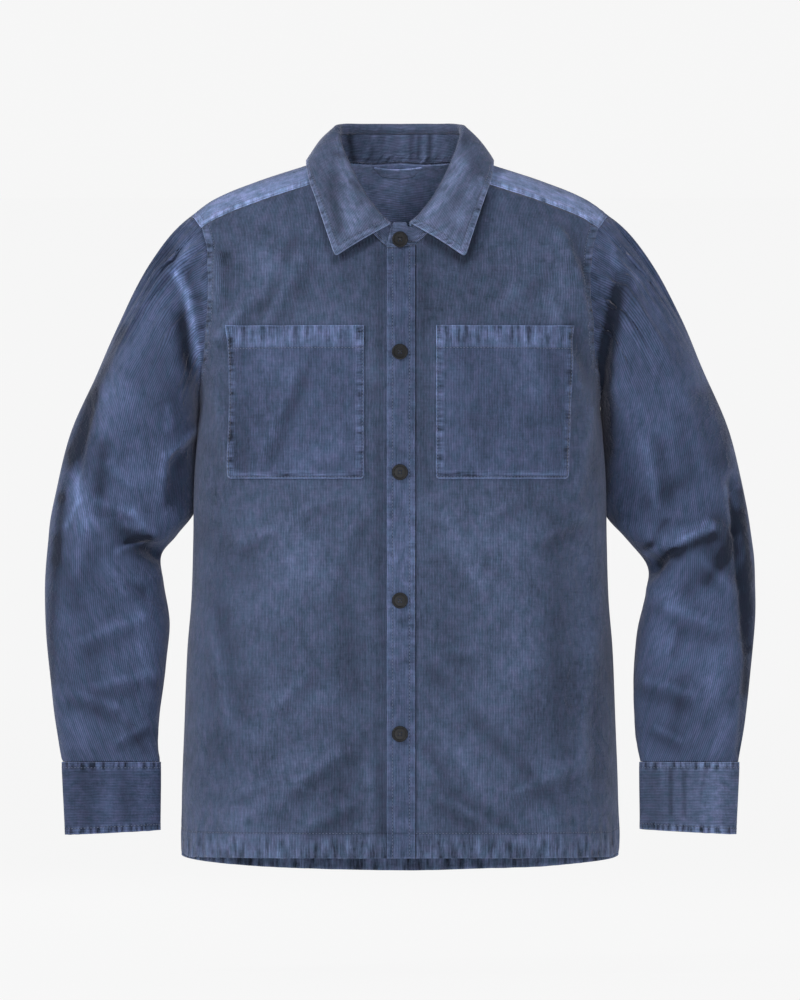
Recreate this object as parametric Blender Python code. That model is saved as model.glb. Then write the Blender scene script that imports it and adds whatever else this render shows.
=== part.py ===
"""A buttoned corduroy overshirt, filled out as it is worn, with nobody in it.

Metres, +Z up. The front faces -Y and the wearer's left is +X. The origin is inside the neck, at the
height of the shoulder line. Each sewn piece is its own thin wall of cloth.
"""
import math
from collections import namedtuple

import bmesh
import bpy
from mathutils import Vector

# Cloth
CLOTH = 0.0020
SEAM_GAP = 0.0003
HALF_GAP = SEAM_GAP / 2
POCKET_CLOTH = 0.0018
PLACKET_CLOTH = 0.0022
PLACKET_PROUD = 0.0016
STAND_CLOTH = 0.0022
COLLAR_CLOTH = 0.0024
CUFF_CLOTH = 0.0026
CUFF_PROUD = 0.0006
LOOP_CLOTH = 0.0018

# Heights of the main lines
HEM = -0.7356
HEM_CORNER_LIFT = 0.0040
BACK_HEM_SIDE = -0.7345
BACK_HEM_DROP = 0.0192
POCKET_TOP = -0.1728
POCKET_BOTTOM = -0.3346
UNDERARM = (POCKET_TOP + POCKET_BOTTOM) / 2
BACK_SEAM = -0.1050

# The body's form, as a section at each height
BodyRow = namedtuple("BodyRow", "height half_width front_depth back_depth")
BODY_ROWS = (
    BodyRow(-0.760, 0.2325, 0.1285, 0.1150),
    BodyRow(-0.670, 0.2320, 0.1270, 0.1120),
    BodyRow(-0.592, 0.2292, 0.1255, 0.1080),
    BodyRow(-0.516, 0.2262, 0.1250, 0.1060),
    BodyRow(-0.464, 0.2220, 0.1250, 0.1050),
    BodyRow(-0.400, 0.2200, 0.1260, 0.1055),
    BodyRow(-0.336, 0.2190, 0.1270, 0.1100),
    BodyRow(-0.281, 0.2152, 0.1260, 0.1160),
    BodyRow(-0.254, 0.2132, 0.1235, 0.1180),
    BodyRow(-0.200, 0.2195, 0.1150, 0.1185),
    BodyRow(-0.150, 0.2310, 0.1020, 0.1170),
    BodyRow(-0.100, 0.2400, 0.0810, 0.1110),
    BodyRow(-0.050, 0.2455, 0.0660, 0.1040),
    BodyRow(0.000, 0.2470, 0.0590, 0.0950),
    BodyRow(0.030, 0.2470, 0.0560, 0.0880),
)
SQUARENESS = 2.5

# The shoulder line, seen from the front, and the rounding over it
ShoulderRow = namedtuple("ShoulderRow", "across height")
SHOULDER_ROWS = (
    ShoulderRow(0.000, 0.0220),
    ShoulderRow(0.040, 0.0170),
    ShoulderRow(0.077, 0.0065),
    ShoulderRow(0.099, -0.0010),
    ShoulderRow(0.151, -0.0180),
    ShoulderRow(0.197, -0.0370),
    ShoulderRow(0.224, -0.0565),
    ShoulderRow(0.247, -0.0780),
)
SHOULDER_DROP = 0.090
# Below this share of the drop, directions are read round the body rather than over the shoulder
ROLL_START = 0.30
# Length of cloth over the shoulder for one turn
TURN_LENGTH = 0.116

# Over the shoulder, a place is given by its turn: 0 on the line, 1 where the rounding ends, front negative
FRONT_SEAM_TURN = -0.457
NECK_END = 0.070
SEAM_END = 0.211
SHOULDER_POINT = 0.224
BACK_SEAM_END = 0.214

ArmholeRow = namedtuple("ArmholeRow", "height front_across back_across")
ARMHOLE_ROWS = (
    ArmholeRow(UNDERARM, 0.2132, 0.2132),
    ArmholeRow(-0.229, 0.2117, 0.2125),
    ArmholeRow(-0.205, 0.2078, 0.2105),
    ArmholeRow(-0.168, 0.2040, 0.2090),
    ArmholeRow(-0.132, 0.2017, 0.2092),
    ArmholeRow(-0.095, 0.2040, 0.2130),
    ArmholeRow(-0.067, 0.2110, 0.2160),
)

# The neckline: on each front by height, from the edge that crosses the middle; the rest by its turn
NeckFrontRow = namedtuple("NeckFrontRow", "across height")
NECK_FRONT_ROWS = (
    NeckFrontRow(-0.0145, -0.0900),
    NeckFrontRow(0.0000, -0.0900),
    NeckFrontRow(0.0100, -0.0884),
    NeckFrontRow(0.0162, -0.0870),
    NeckFrontRow(0.0300, -0.0740),
    NeckFrontRow(0.0450, -0.0570),
    NeckFrontRow(0.0580, -0.0395),
    NeckFrontRow(0.0660, -0.0255),
    NeckFrontRow(0.0700, -0.0138),
)
NeckBackRow = namedtuple("NeckBackRow", "share across turn")
NECK_BACK_ROWS = (
    NeckBackRow(0.00, 0.0700, FRONT_SEAM_TURN),
    NeckBackRow(0.16, 0.0722, -0.2400),
    NeckBackRow(0.30, 0.0715, -0.0200),
    NeckBackRow(0.46, 0.0665, 0.1750),
    NeckBackRow(0.62, 0.0540, 0.3050),
    NeckBackRow(0.81, 0.0290, 0.3950),
    NeckBackRow(1.00, 0.0000, 0.4120),
)

# The collar: its roll line and its free edge, from the front round to the centre back
CollarRow = namedtuple("CollarRow", "share roll_x roll_y roll_z edge_x edge_y edge_z leg bulge")
COLLAR_ROWS = (
    CollarRow(0.000, 0.0105, -0.0715, -0.0640, 0.0690, -0.0885, -0.0996, 0.0045, 0.0015),
    CollarRow(0.112, 0.0230, -0.0650, -0.0530, 0.0735, -0.0850, -0.0860, 0.0050, 0.0040),
    CollarRow(0.245, 0.0395, -0.0520, -0.0305, 0.0800, -0.0775, -0.0660, 0.0060, 0.0065),
    CollarRow(0.430, 0.0570, -0.0260, 0.0050, 0.0900, -0.0600, -0.0360, 0.0075, 0.0080),
    CollarRow(0.515, 0.0625, -0.0070, 0.0255, 0.0965, -0.0410, -0.0160, 0.0090, 0.0060),
    CollarRow(0.590, 0.0640, 0.0090, 0.0380, 0.0988, -0.0190, 0.0000, 0.0100, 0.0030),
    CollarRow(0.705, 0.0585, 0.0270, 0.0420, 0.0955, 0.0180, 0.0035, 0.0100, 0.0020),
    CollarRow(0.860, 0.0350, 0.0440, 0.0425, 0.0610, 0.0620, -0.0035, 0.0100, 0.0040),
    CollarRow(1.000, 0.0000, 0.0500, 0.0425, 0.0000, 0.0780, -0.0070, 0.0100, 0.0040),
)
ROLL_RADIUS = 0.0032

# The stand's two ends, which lap at the front: the lines of the upper end, from the collar to its tip
LapRow = namedtuple("LapRow", "foot_x top_x top_z")
LAP_ROWS = (
    LapRow(0.0085, 0.0088, -0.0682),
    LapRow(0.0040, 0.0062, -0.0632),
    LapRow(-0.0040, -0.0030, -0.0630),
    LapRow(-0.0100, -0.0072, -0.0640),
    LapRow(-0.0145, -0.0100, -0.0690),
)
UNDER_ROWS = LAP_ROWS[:4]
LAP_TOP_Y = -0.0735
LAP_LIFT = 0.0003
UNDER_EDGE = 0.0150
LEAF_GAP = 0.0006
LEAF_END = 0.0105

# Columns of the two fronts: where each stands on the panel, and where it meets the neckline
Column = namedtuple("Column", "across at_neck")
RIGHT_INNER_COLUMNS = (
    Column(-0.0140, -0.0140), Column(0.0000, 0.0000), Column(0.0145, 0.0145),
    Column(0.0235, 0.0245), Column(0.0380, 0.0400), Column(0.0563, 0.0560), Column(0.0745, NECK_END),
)
LEFT_INNER_COLUMNS = (
    Column(0.0162, 0.0162), Column(0.0270, 0.0290), Column(0.0380, 0.0430),
    Column(0.0563, 0.0570), Column(0.0745, NECK_END),
)
PLACKET_COLUMNS = (-0.0138, -0.0060, 0.0030, 0.0100, 0.0159)
PLACKET_DIP = 0.0010
POCKET_INNER = 0.0380
POCKET_OUTER_TOP = 0.1840
POCKET_OUTER_BOTTOM = 0.1805
POCKET_STEPS = 8
OUTER_STEPS = 5
SEAM_STEPS = 6 + OUTER_STEPS
LOWER_STEPS = 11
UPPER_STEPS = 5
BACK_COLUMNS = 18
BACK_ARM_STEPS = 7
YOKE_ARM_STEPS = 5
YOKE_ARM_SHARE = 0.52

# Large folds of the body: soft ridges (and, below nothing, troughs) along a line seen from the front
FoldRow = namedtuple("FoldRow", "x0 z0 x1 z1 width lift side")
FRONT, BACK = -1, 1
BODY_FOLD_STRENGTH = 1.4
BODY_FOLDS = (
    FoldRow(-0.190, -0.110, -0.186, -0.185, 0.020, 0.0035, FRONT),
    FoldRow(-0.150, -0.120, -0.105, -0.098, 0.018, 0.0025, FRONT),
    FoldRow(0.168, -0.074, 0.186, -0.160, 0.020, 0.0035, FRONT),
    FoldRow(-0.120, -0.390, -0.136, -0.560, 0.034, 0.0045, FRONT),
    FoldRow(-0.058, -0.430, -0.052, -0.690, 0.028, -0.0035, FRONT),
    FoldRow(-0.170, -0.690, -0.060, -0.625, 0.022, 0.0045, FRONT),
    FoldRow(-0.150, -0.770, -0.146, -0.680, 0.026, 0.0040, FRONT),
    FoldRow(0.128, -0.400, 0.118, -0.640, 0.036, 0.0045, FRONT),
    FoldRow(0.062, -0.480, 0.066, -0.760, 0.026, -0.0035, FRONT),
    FoldRow(0.165, -0.600, 0.155, -0.770, 0.026, 0.0040, FRONT),
    FoldRow(0.190, -0.420, 0.196, -0.600, 0.022, -0.0030, FRONT),
    FoldRow(-0.062, -0.190, -0.080, -0.700, 0.030, 0.0060, BACK),
    FoldRow(0.072, -0.210, 0.090, -0.760, 0.030, 0.0060, BACK),
    FoldRow(0.002, -0.330, 0.010, -0.770, 0.030, -0.0050, BACK),
    FoldRow(-0.150, -0.260, -0.158, -0.760, 0.026, -0.0045, BACK),
    FoldRow(0.158, -0.250, 0.150, -0.740, 0.026, -0.0045, BACK),
    FoldRow(-0.110, -0.395, 0.095, -0.420, 0.022, 0.0040, BACK),
    FoldRow(-0.185, -0.120, -0.165, -0.210, 0.022, 0.0045, BACK),
    FoldRow(0.185, -0.120, 0.168, -0.205, 0.022, 0.0045, BACK),
)

# Sleeves: each row is one section, from its inner point to its outer one, as seen from the front
SleeveRow = namedtuple("SleeveRow", "inner_x inner_z outer_x outer_z mid_y half_depth")
RIGHT_SLEEVE_ROWS = (
    SleeveRow(0.2165, -0.2700, 0.3210, -0.2190, 0.012, 0.078),
    SleeveRow(0.2190, -0.3180, 0.3500, -0.2850, 0.014, 0.066),
    SleeveRow(0.2205, -0.3640, 0.3695, -0.3620, 0.014, 0.056),
    SleeveRow(0.2370, -0.3940, 0.3755, -0.4050, 0.010, 0.051),
    SleeveRow(0.2540, -0.4160, 0.3775, -0.4400, 0.004, 0.047),
    SleeveRow(0.2515, -0.4460, 0.3775, -0.4700, -0.004, 0.046),
    SleeveRow(0.2455, -0.4900, 0.3755, -0.5080, -0.013, 0.042),
    SleeveRow(0.2490, -0.5350, 0.3715, -0.5480, -0.024, 0.038),
    SleeveRow(0.2545, -0.5780, 0.3670, -0.5850, -0.033, 0.031),
    SleeveRow(0.2570, -0.6130, 0.3610, -0.6160, -0.040, 0.024),
    SleeveRow(0.2548, -0.6347, 0.3578, -0.6347, -0.044, 0.0175),
)
LEFT_SLEEVE_ROWS = (
    SleeveRow(0.2165, -0.2700, 0.3220, -0.2170, 0.012, 0.078),
    SleeveRow(0.2190, -0.3180, 0.3505, -0.2850, 0.014, 0.066),
    SleeveRow(0.2205, -0.3660, 0.3690, -0.3620, 0.014, 0.056),
    SleeveRow(0.2400, -0.3970, 0.3760, -0.4080, 0.010, 0.051),
    SleeveRow(0.2625, -0.4260, 0.3780, -0.4460, 0.004, 0.047),
    SleeveRow(0.2620, -0.4520, 0.3780, -0.4760, -0.004, 0.045),
    SleeveRow(0.2520, -0.4980, 0.3755, -0.5160, -0.014, 0.042),
    SleeveRow(0.2480, -0.5450, 0.3715, -0.5560, -0.025, 0.038),
    SleeveRow(0.2490, -0.5900, 0.3665, -0.5920, -0.034, 0.031),
    SleeveRow(0.2520, -0.6170, 0.3620, -0.6180, -0.041, 0.024),
    SleeveRow(0.2550, -0.6347, 0.3590, -0.6347, -0.044, 0.0175),
)
CAP_STEPS = (0.0, 0.10, 0.24, 0.42, 0.62, 0.82)
CAP_TENSION = 0.45
SLEEVE_RINGS = 17
SLEEVE_SQUARENESS = 2.2

# Large folds of the sleeves, on the front and on the back
RIGHT_SLEEVE_FOLDS = (
    FoldRow(-0.255, -0.414, -0.290, -0.402, 0.013, -0.0070, FRONT),
    FoldRow(-0.240, -0.372, -0.305, -0.392, 0.014, 0.0045, FRONT),
    FoldRow(-0.258, -0.436, -0.300, -0.452, 0.014, 0.0040, FRONT),
    FoldRow(-0.240, -0.100, -0.224, -0.200, 0.014, -0.0050, FRONT),
    FoldRow(-0.252, -0.120, -0.236, -0.220, 0.015, 0.0045, FRONT),
    FoldRow(-0.250, -0.300, -0.258, -0.350, 0.016, 0.0035, FRONT),
    FoldRow(-0.333, -0.262, -0.345, -0.330, 0.014, -0.0035, FRONT),
    FoldRow(-0.255, -0.420, -0.330, -0.410, 0.014, -0.0060, BACK),
    FoldRow(-0.250, -0.385, -0.340, -0.375, 0.015, 0.0045, BACK),
    FoldRow(-0.330, -0.450, -0.350, -0.560, 0.018, 0.0040, BACK),
    FoldRow(-0.245, -0.110, -0.235, -0.215, 0.016, -0.0050, BACK),
)
LEFT_SLEEVE_FOLDS = (
    FoldRow(0.268, -0.428, 0.292, -0.410, 0.013, -0.0075, FRONT),
    FoldRow(0.290, -0.412, 0.330, -0.390, 0.014, 0.0050, FRONT),
    FoldRow(0.240, -0.385, 0.285, -0.392, 0.014, 0.0040, FRONT),
    FoldRow(0.262, -0.450, 0.300, -0.470, 0.014, 0.0040, FRONT),
    FoldRow(0.220, -0.090, 0.243, -0.126, 0.014, 0.0040, FRONT),
    FoldRow(0.230, -0.117, 0.214, -0.230, 0.013, -0.0050, FRONT),
    FoldRow(0.244, -0.130, 0.230, -0.235, 0.015, 0.0045, FRONT),
    FoldRow(0.356, -0.340, 0.366, -0.500, 0.013, -0.0035, FRONT),
    FoldRow(0.262, -0.430, 0.330, -0.418, 0.014, -0.0060, BACK),
    FoldRow(0.250, -0.385, 0.340, -0.378, 0.015, 0.0045, BACK),
    FoldRow(0.335, -0.455, 0.350, -0.560, 0.018, 0.0040, BACK),
    FoldRow(0.245, -0.110, 0.235, -0.215, 0.016, -0.0050, BACK),
)
FOLD_FADE = 0.060

# Cuffs: the top and the lower edge, each an oval
CuffRow = namedtuple("CuffRow", "share inner_x outer_x inner_z outer_z mid_y half_depth")
RIGHT_CUFF_ROWS = (
    CuffRow(0.0, 0.2542, 0.3584, -0.6350, -0.6350, -0.044, 0.0181),
    CuffRow(1.0, 0.2542, 0.3548, -0.7070, -0.7120, -0.055, 0.0200),
)
LEFT_CUFF_ROWS = (
    CuffRow(0.0, 0.2544, 0.3596, -0.6350, -0.6350, -0.044, 0.0181),
    CuffRow(1.0, 0.2546, 0.3562, -0.7060, -0.7115, -0.055, 0.0200),
)
CUFF_COLUMNS = 26
CUFF_STEPS = 3
CUFF_LAP_START = math.radians(72)
CUFF_LAP = math.radians(46)
CUFF_LAP_EASE = math.radians(40)

# Hanger loop, inside the back of the neck
LOOP_MIDDLE = -0.0027
LOOP_HALF_TOP = 0.0260
LOOP_HALF_LOW = 0.0170
LOOP_TOP = 0.0005
LOOP_LOW = -0.0088
LOOP_OUT = 0.0030
LOOP_COLUMNS = 8

# Buttons: a dished disc with a raised rim and four holes
BUTTON_RADIUS = 0.0086
BUTTON_RIM = 0.0016
BUTTON_EDGE = 0.0006
BUTTON_THICK = 0.0034
BUTTON_DISH = 0.0009
BUTTON_HOLE = 0.0009
BUTTON_HOLE_OUT = 0.0021
BUTTON_SIDES = 14
HOLE_SIDES = 5
BUTTON_STAND_OFF = 0.0003
FRONT_BUTTON_HEIGHTS = (-0.0816, -0.2014, -0.3278, -0.4632, -0.6042)

# Colours, linear
FRONT_BLUE = (0.060, 0.083, 0.150)
PALE_BLUE = (0.075, 0.100, 0.175)
SLEEVE_BLUE = (0.052, 0.072, 0.132)
COLLAR_BLUE = (0.105, 0.130, 0.220)
BUTTON_DARK = (0.024, 0.025, 0.028)


def clear_scene():
    """Take away whatever the file holds."""
    for item in list(bpy.data.objects):
        bpy.data.objects.remove(item, do_unlink=True)


def finish(name, colour, roughness):
    """One Principled material."""
    material = bpy.data.materials.new(name)
    material.use_nodes = True
    shader = material.node_tree.nodes["Principled BSDF"]
    shader.inputs["Base Color"].default_value = (*colour, 1.0)
    shader.inputs["Roughness"].default_value = roughness
    shader.inputs["Metallic"].default_value = 0.0
    return material


def mix(first, second, share):
    """A value or a vector part of the way from one to another."""
    return first + (second - first) * share


def ease(value):
    """A smooth step from 0 to 1."""
    value = min(max(value, 0.0), 1.0)
    return value * value * (3 - 2 * value)


def slope(rows, index, column):
    """A row's slope in one column, from its neighbours."""
    low = max(index - 1, 0)
    high = min(index + 1, len(rows) - 1)
    return (rows[high][column] - rows[low][column]) / (rows[high][0] - rows[low][0])


def read_rows(rows, at, column):
    """One column's value at a place along a table, on a smooth curve through its rows."""
    at = min(max(at, rows[0][0]), rows[-1][0])
    index = 0
    while index < len(rows) - 2 and rows[index + 1][0] < at:
        index += 1
    step = rows[index + 1][0] - rows[index][0]
    t = (at - rows[index][0]) / step
    a, b = rows[index][column], rows[index + 1][column]
    rise_a = slope(rows, index, column) * step
    rise_b = slope(rows, index + 1, column) * step
    smooth = a * (1 + 2 * t) * (1 - t) ** 2 + b * t * t * (3 - 2 * t)
    return smooth + rise_a * t * (1 - t) ** 2 - rise_b * t * t * (1 - t)


def shoulder_height(across):
    """The shoulder line's height at a distance from the middle."""
    return read_rows(SHOULDER_ROWS, abs(across), 1)


def drop_of_turn(turn):
    """How far below the shoulder line a turn lies, as a share of the rounding."""
    turn = abs(turn)
    if turn <= 1:
        return 1 - math.cos(turn * math.pi / 2)
    return 1 + (turn - 1) * math.pi / 2


def turn_of_drop(drop):
    """The turn at a drop below the shoulder line."""
    if drop <= 1:
        return math.acos(1 - max(drop, 0.0)) / (math.pi / 2)
    return 1 + (drop - 1) / (math.pi / 2)


def form_depth(across, height, side):
    """How far the body's form stands out from the middle plane, front or back."""
    depth = read_rows(BODY_ROWS, height, 2 if side == FRONT else 3)
    share = min(abs(across) / read_rows(BODY_ROWS, height, 1), 1.0)
    spread = (1 - share ** SQUARENESS) ** (1 / SQUARENESS)
    drop = min(max((shoulder_height(across) - height) / SHOULDER_DROP, 0.0), 1.0)
    return side * depth * spread * math.sqrt(1 - (1 - drop) ** 2)


def around(angle, height, side):
    """A point of the form by its angle round the body: 0 in the middle, a quarter turn at the side."""
    if abs(angle) > math.pi / 2:
        side = -side
        angle = math.copysign(math.pi - abs(angle), angle)
    reach = abs(math.sin(angle)) ** (2 / SQUARENESS)
    across = math.copysign(read_rows(BODY_ROWS, height, 1) * reach, angle)
    return Vector((across, form_depth(across, height, side), height))


def angle_of(across, height):
    """The angle round the body of a distance from the middle."""
    share = min(abs(across) / read_rows(BODY_ROWS, height, 1), 1.0)
    return math.copysign(math.asin(share ** (SQUARENESS / 2)), across)


def over_shoulder(across, turn):
    """A point of the form by its turn over the shoulder line."""
    height = shoulder_height(across) - SHOULDER_DROP * drop_of_turn(turn)
    return Vector((across, form_depth(across, height, FRONT if turn < 0 else BACK), height))


def outward(across, height, side, turn):
    """The form's outward direction at a point."""
    small = 0.002
    drop = (shoulder_height(across) - height) / SHOULDER_DROP
    if drop > ROLL_START:
        angle = angle_of(across, height)
        along = around(angle + small, height, side) - around(angle - small, height, side)
        up = around(angle, height + small, side) - around(angle, height - small, side)
        normal = along.cross(up) * -side
    else:
        along = over_shoulder(across + small, turn) - over_shoulder(across - small, turn)
        back = over_shoulder(across, turn + small) - over_shoulder(across, turn - small)
        normal = along.cross(back)
    return normal.normalized()


def fold_lift(folds, x, z, side):
    """How far the folds raise the cloth at a point, seen from the front or the back."""
    lift = 0.0
    for fold in folds:
        if fold.side != side:
            continue
        run_x, run_z = fold.x1 - fold.x0, fold.z1 - fold.z0
        share = ((x - fold.x0) * run_x + (z - fold.z0) * run_z) / (run_x ** 2 + run_z ** 2)
        share = min(max(share, 0.0), 1.0)
        away = math.hypot(x - fold.x0 - run_x * share, z - fold.z0 - run_z * share)
        lift += fold.lift * math.exp(-(away / fold.width) ** 2)
    return lift


def on_body(across, height, side, turn=None):
    """A point of the cloth's outer face and the outward direction there."""
    if turn is None:
        drop = (shoulder_height(across) - height) / SHOULDER_DROP
        turn = side * turn_of_drop(drop)
        point = Vector((across, form_depth(across, height, side), height))
    else:
        point = over_shoulder(across, turn)
    normal = outward(across, point.z, side, turn)
    share = min(abs(across) / read_rows(BODY_ROWS, point.z, 1), 1.0)
    calm = ease((1 - share) / 0.12) * ease((abs(turn) - 0.5) / 0.4)
    lift = BODY_FOLD_STRENGTH * fold_lift(BODY_FOLDS, across, point.z, side)
    return point + normal * lift * calm, normal


def cloth_wall(name, outer, inner, closed=False):
    """A thin closed wall between two grids of points; a closed one joins its first and last column."""
    columns, rows = len(outer) - 1, len(outer[0]) - 1
    mesh = bmesh.new()
    column_of = mesh.verts.layers.int.new("column")
    row_of = mesh.verts.layers.int.new("row")
    bmesh.ops.create_grid(mesh, x_segments=columns, y_segments=rows, size=0.5)
    for vert in mesh.verts:
        vert[column_of] = round((vert.co.x + 0.5) * columns)
        vert[row_of] = round((vert.co.y + 0.5) * rows)
        vert.co = outer[vert[column_of]][vert[row_of]]
    if closed:
        bmesh.ops.remove_doubles(mesh, verts=mesh.verts, dist=0.000001)
    grown = bmesh.ops.extrude_face_region(mesh, geom=list(mesh.faces), use_keep_orig=True)
    for item in grown["geom"]:
        if isinstance(item, bmesh.types.BMVert):
            item.co = inner[item[column_of]][item[row_of]]
    bmesh.ops.recalc_face_normals(mesh, faces=mesh.faces)
    if mesh.calc_volume(signed=True) < 0:
        bmesh.ops.reverse_faces(mesh, faces=mesh.faces)
    data = bpy.data.meshes.new(name)
    mesh.to_mesh(data)
    mesh.free()
    return data


def add_piece(name, data, material, garment, holder):
    """Put one piece in the collection, shaded smooth, under the garment's empty."""
    data.shade_smooth()
    data.set_sharp_from_angle(angle=math.radians(50))
    data.materials.append(material)
    piece = bpy.data.objects.new(name, data)
    garment.objects.link(piece)
    piece.parent = holder
    return piece


def faces_of(points, lift, thick):
    """Outer and inner grids from a grid of points with their outward directions."""
    outer = [[point + normal * lift for point, normal in column] for column in points]
    inner = [[point + normal * (lift - thick) for point, normal in column] for column in points]
    return outer, inner


def grid_normals(points, closed=False):
    """Directions square to a grid of points, from each point's neighbours."""
    last = len(points) - 1
    normals = []
    for i, column in enumerate(points):
        if closed:
            before, after = points[(i - 1) % last], points[(i + 1) % last]
        else:
            before, after = points[max(i - 1, 0)], points[min(i + 1, last)]
        line = []
        for j in range(len(column)):
            along = after[j] - before[j]
            down = column[min(j + 1, len(column) - 1)] - column[max(j - 1, 0)]
            line.append(along.cross(down).normalized())
        normals.append(line)
    return normals


def front_rows():
    """Heights of the fronts' level rows, from the hem to the pocket's top."""
    lower = [mix(HEM, POCKET_BOTTOM, k / LOWER_STEPS) for k in range(LOWER_STEPS)]
    pocket = [mix(POCKET_BOTTOM, POCKET_TOP, k / POCKET_STEPS) for k in range(POCKET_STEPS + 1)]
    return lower + pocket


def armhole_across(height, side):
    """The armhole's distance from the middle at a height."""
    if height <= UNDERARM:
        return read_rows(BODY_ROWS, height, 1)
    return read_rows(ARMHOLE_ROWS, height, 1 if side == FRONT else 2)


def pocket_outer(height):
    """The pocket's outer edge at a height; it leans in a little towards its foot."""
    share = (height - POCKET_BOTTOM) / (POCKET_TOP - POCKET_BOTTOM)
    return mix(POCKET_OUTER_BOTTOM, POCKET_OUTER_TOP, min(max(share, 0.0), 1.0))


def level_places(height, inner_columns):
    """Distances from the middle of one level row's points."""
    places = [column.across for column in inner_columns[:-2]]
    far = pocket_outer(height)
    places += [mix(POCKET_INNER, far, k / POCKET_STEPS) for k in range(1, POCKET_STEPS + 1)]
    edge = armhole_across(height, FRONT)
    start, end = angle_of(far, height), angle_of(edge, height)
    width = read_rows(BODY_ROWS, height, 1)
    for k in range(1, OUTER_STEPS + 1):
        angle = mix(start, end, k / OUTER_STEPS)
        places.append(width * math.sin(angle) ** (2 / SQUARENESS))
    return places


def seam_places():
    """Distances from the middle of the front shoulder seam's points."""
    return [mix(NECK_END, SEAM_END, k / SEAM_STEPS) for k in range(SEAM_STEPS + 1)]


def seam_height(across):
    """The front shoulder seam's height at a distance from the middle."""
    return shoulder_height(across) - SHOULDER_DROP * drop_of_turn(FRONT_SEAM_TURN)


def hem_height(across):
    """The front hem, whose outer corners lift a little."""
    return HEM + HEM_CORNER_LIFT * ease((abs(across) - 0.222) / 0.012)


def front_points(inner_columns, hand):
    """The grid of one front: level rows up to the pocket's top, then rows that fan out to its upper edge."""
    levels = front_rows()
    rows = [(height, level_places(height, inner_columns)) for height in levels]
    count = len(rows[0][1])
    neck = [column.at_neck for column in inner_columns]
    top_places = neck + seam_places()[1:]
    neck_count = len(neck) - 1
    base = rows[-1][1]
    columns = []
    for i in range(count):
        column = []
        for height, places in rows:
            across = places[i]
            level = hem_height(across) if height == HEM else height
            point, normal = on_body(hand * across, level, FRONT)
            if i == count - 1 and height <= UNDERARM + HALF_GAP:
                point.y = -HALF_GAP
            column.append((point, normal))
        if i < neck_count:
            top = read_rows(NECK_FRONT_ROWS, top_places[i], 1)
        else:
            top = seam_height(top_places[i]) - HALF_GAP
        for k in range(1, UPPER_STEPS + 1):
            share = k / UPPER_STEPS
            height = mix(POCKET_TOP, top, share)
            edge_height = mix(POCKET_TOP, seam_height(SEAM_END), share)
            bow = armhole_across(edge_height, FRONT) - mix(base[-1], SEAM_END, share)
            across = mix(base[i], top_places[i], share) + bow * (i / (count - 1)) ** 3
            column.append(on_body(hand * across, height, FRONT))
        columns.append(column)
    return columns


def make_right_front(points):
    """The right front dips a little where the placket lies on it."""
    lifts = [-PLACKET_DIP] * 3 + [0.0] * (len(points) - 3)
    outer = [[p + n * lift for p, n in column] for column, lift in zip(points, lifts)]
    inner = [[p + n * (lift - CLOTH) for p, n in column] for column, lift in zip(points, lifts)]
    return cloth_wall("right_front", outer, inner)


def placket_points():
    """The placket's grid, on the same level rows as the fronts."""
    columns = []
    for across in PLACKET_COLUMNS:
        column = [on_body(across, height, FRONT) for height in front_rows()]
        top = read_rows(NECK_FRONT_ROWS, across, 1)
        for k in range(1, UPPER_STEPS + 1):
            column.append(on_body(across, mix(POCKET_TOP, top, k / UPPER_STEPS), FRONT))
        columns.append(column)
    return columns


def pocket_points(points, first_column):
    """A pocket is cut from its front's own points."""
    picked = points[first_column:first_column + POCKET_STEPS + 1]
    return [column[LOWER_STEPS:LOWER_STEPS + POCKET_STEPS + 1] for column in picked]


def back_hem(across):
    """The back hem hangs lower in the middle than at the sides."""
    share = min(abs(across) / read_rows(BODY_ROWS, HEM, 1), 1.0)
    return BACK_HEM_SIDE - BACK_HEM_DROP * math.sqrt(1 - share ** 2)


def back_seam_places():
    """Distances from the middle of the back yoke seam's points."""
    limit = angle_of(BACK_SEAM_END, BACK_SEAM)
    width = read_rows(BODY_ROWS, BACK_SEAM, 1)
    places = []
    for k in range(BACK_COLUMNS + 1):
        angle = mix(-limit, limit, k / BACK_COLUMNS)
        places.append(math.copysign(width * abs(math.sin(angle)) ** (2 / SQUARENESS), angle))
    return places


def back_points():
    """The back's grid, from the hem to the yoke seam."""
    levels = [height for height in front_rows() if height <= UNDERARM + HALF_GAP]
    arm = [mix(UNDERARM, BACK_SEAM, k / BACK_ARM_STEPS) for k in range(1, BACK_ARM_STEPS + 1)]
    seam = back_seam_places()
    columns = []
    for i in range(BACK_COLUMNS + 1):
        column = []
        for height in levels + arm:
            reach = armhole_across(height, BACK)
            if height > UNDERARM:
                reach = mix(reach, BACK_SEAM_END, ease((height - BACK_SEAM) / 0.02 + 1))
            limit = angle_of(reach, height)
            angle = mix(-limit, limit, i / BACK_COLUMNS)
            width = read_rows(BODY_ROWS, height, 1)
            across = math.copysign(width * abs(math.sin(angle)) ** (2 / SQUARENESS), angle)
            if height == arm[-1]:
                across, height = seam[i], BACK_SEAM - HALF_GAP
            if height == HEM:
                height = back_hem(across)
            point, normal = on_body(across, height, BACK)
            if i in (0, BACK_COLUMNS) and height <= UNDERARM + HALF_GAP:
                point.y = HALF_GAP
            column.append((point, normal))
        columns.append(column)
    return columns


def neck_place(share):
    """The neckline over the shoulders: distance from the middle and turn, by a share from one front seam."""
    half = min(share, 1 - share) * 2
    across = read_rows(NECK_BACK_ROWS, half, 1)
    return (across if share > 0.5 else -across), read_rows(NECK_BACK_ROWS, half, 2)


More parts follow.
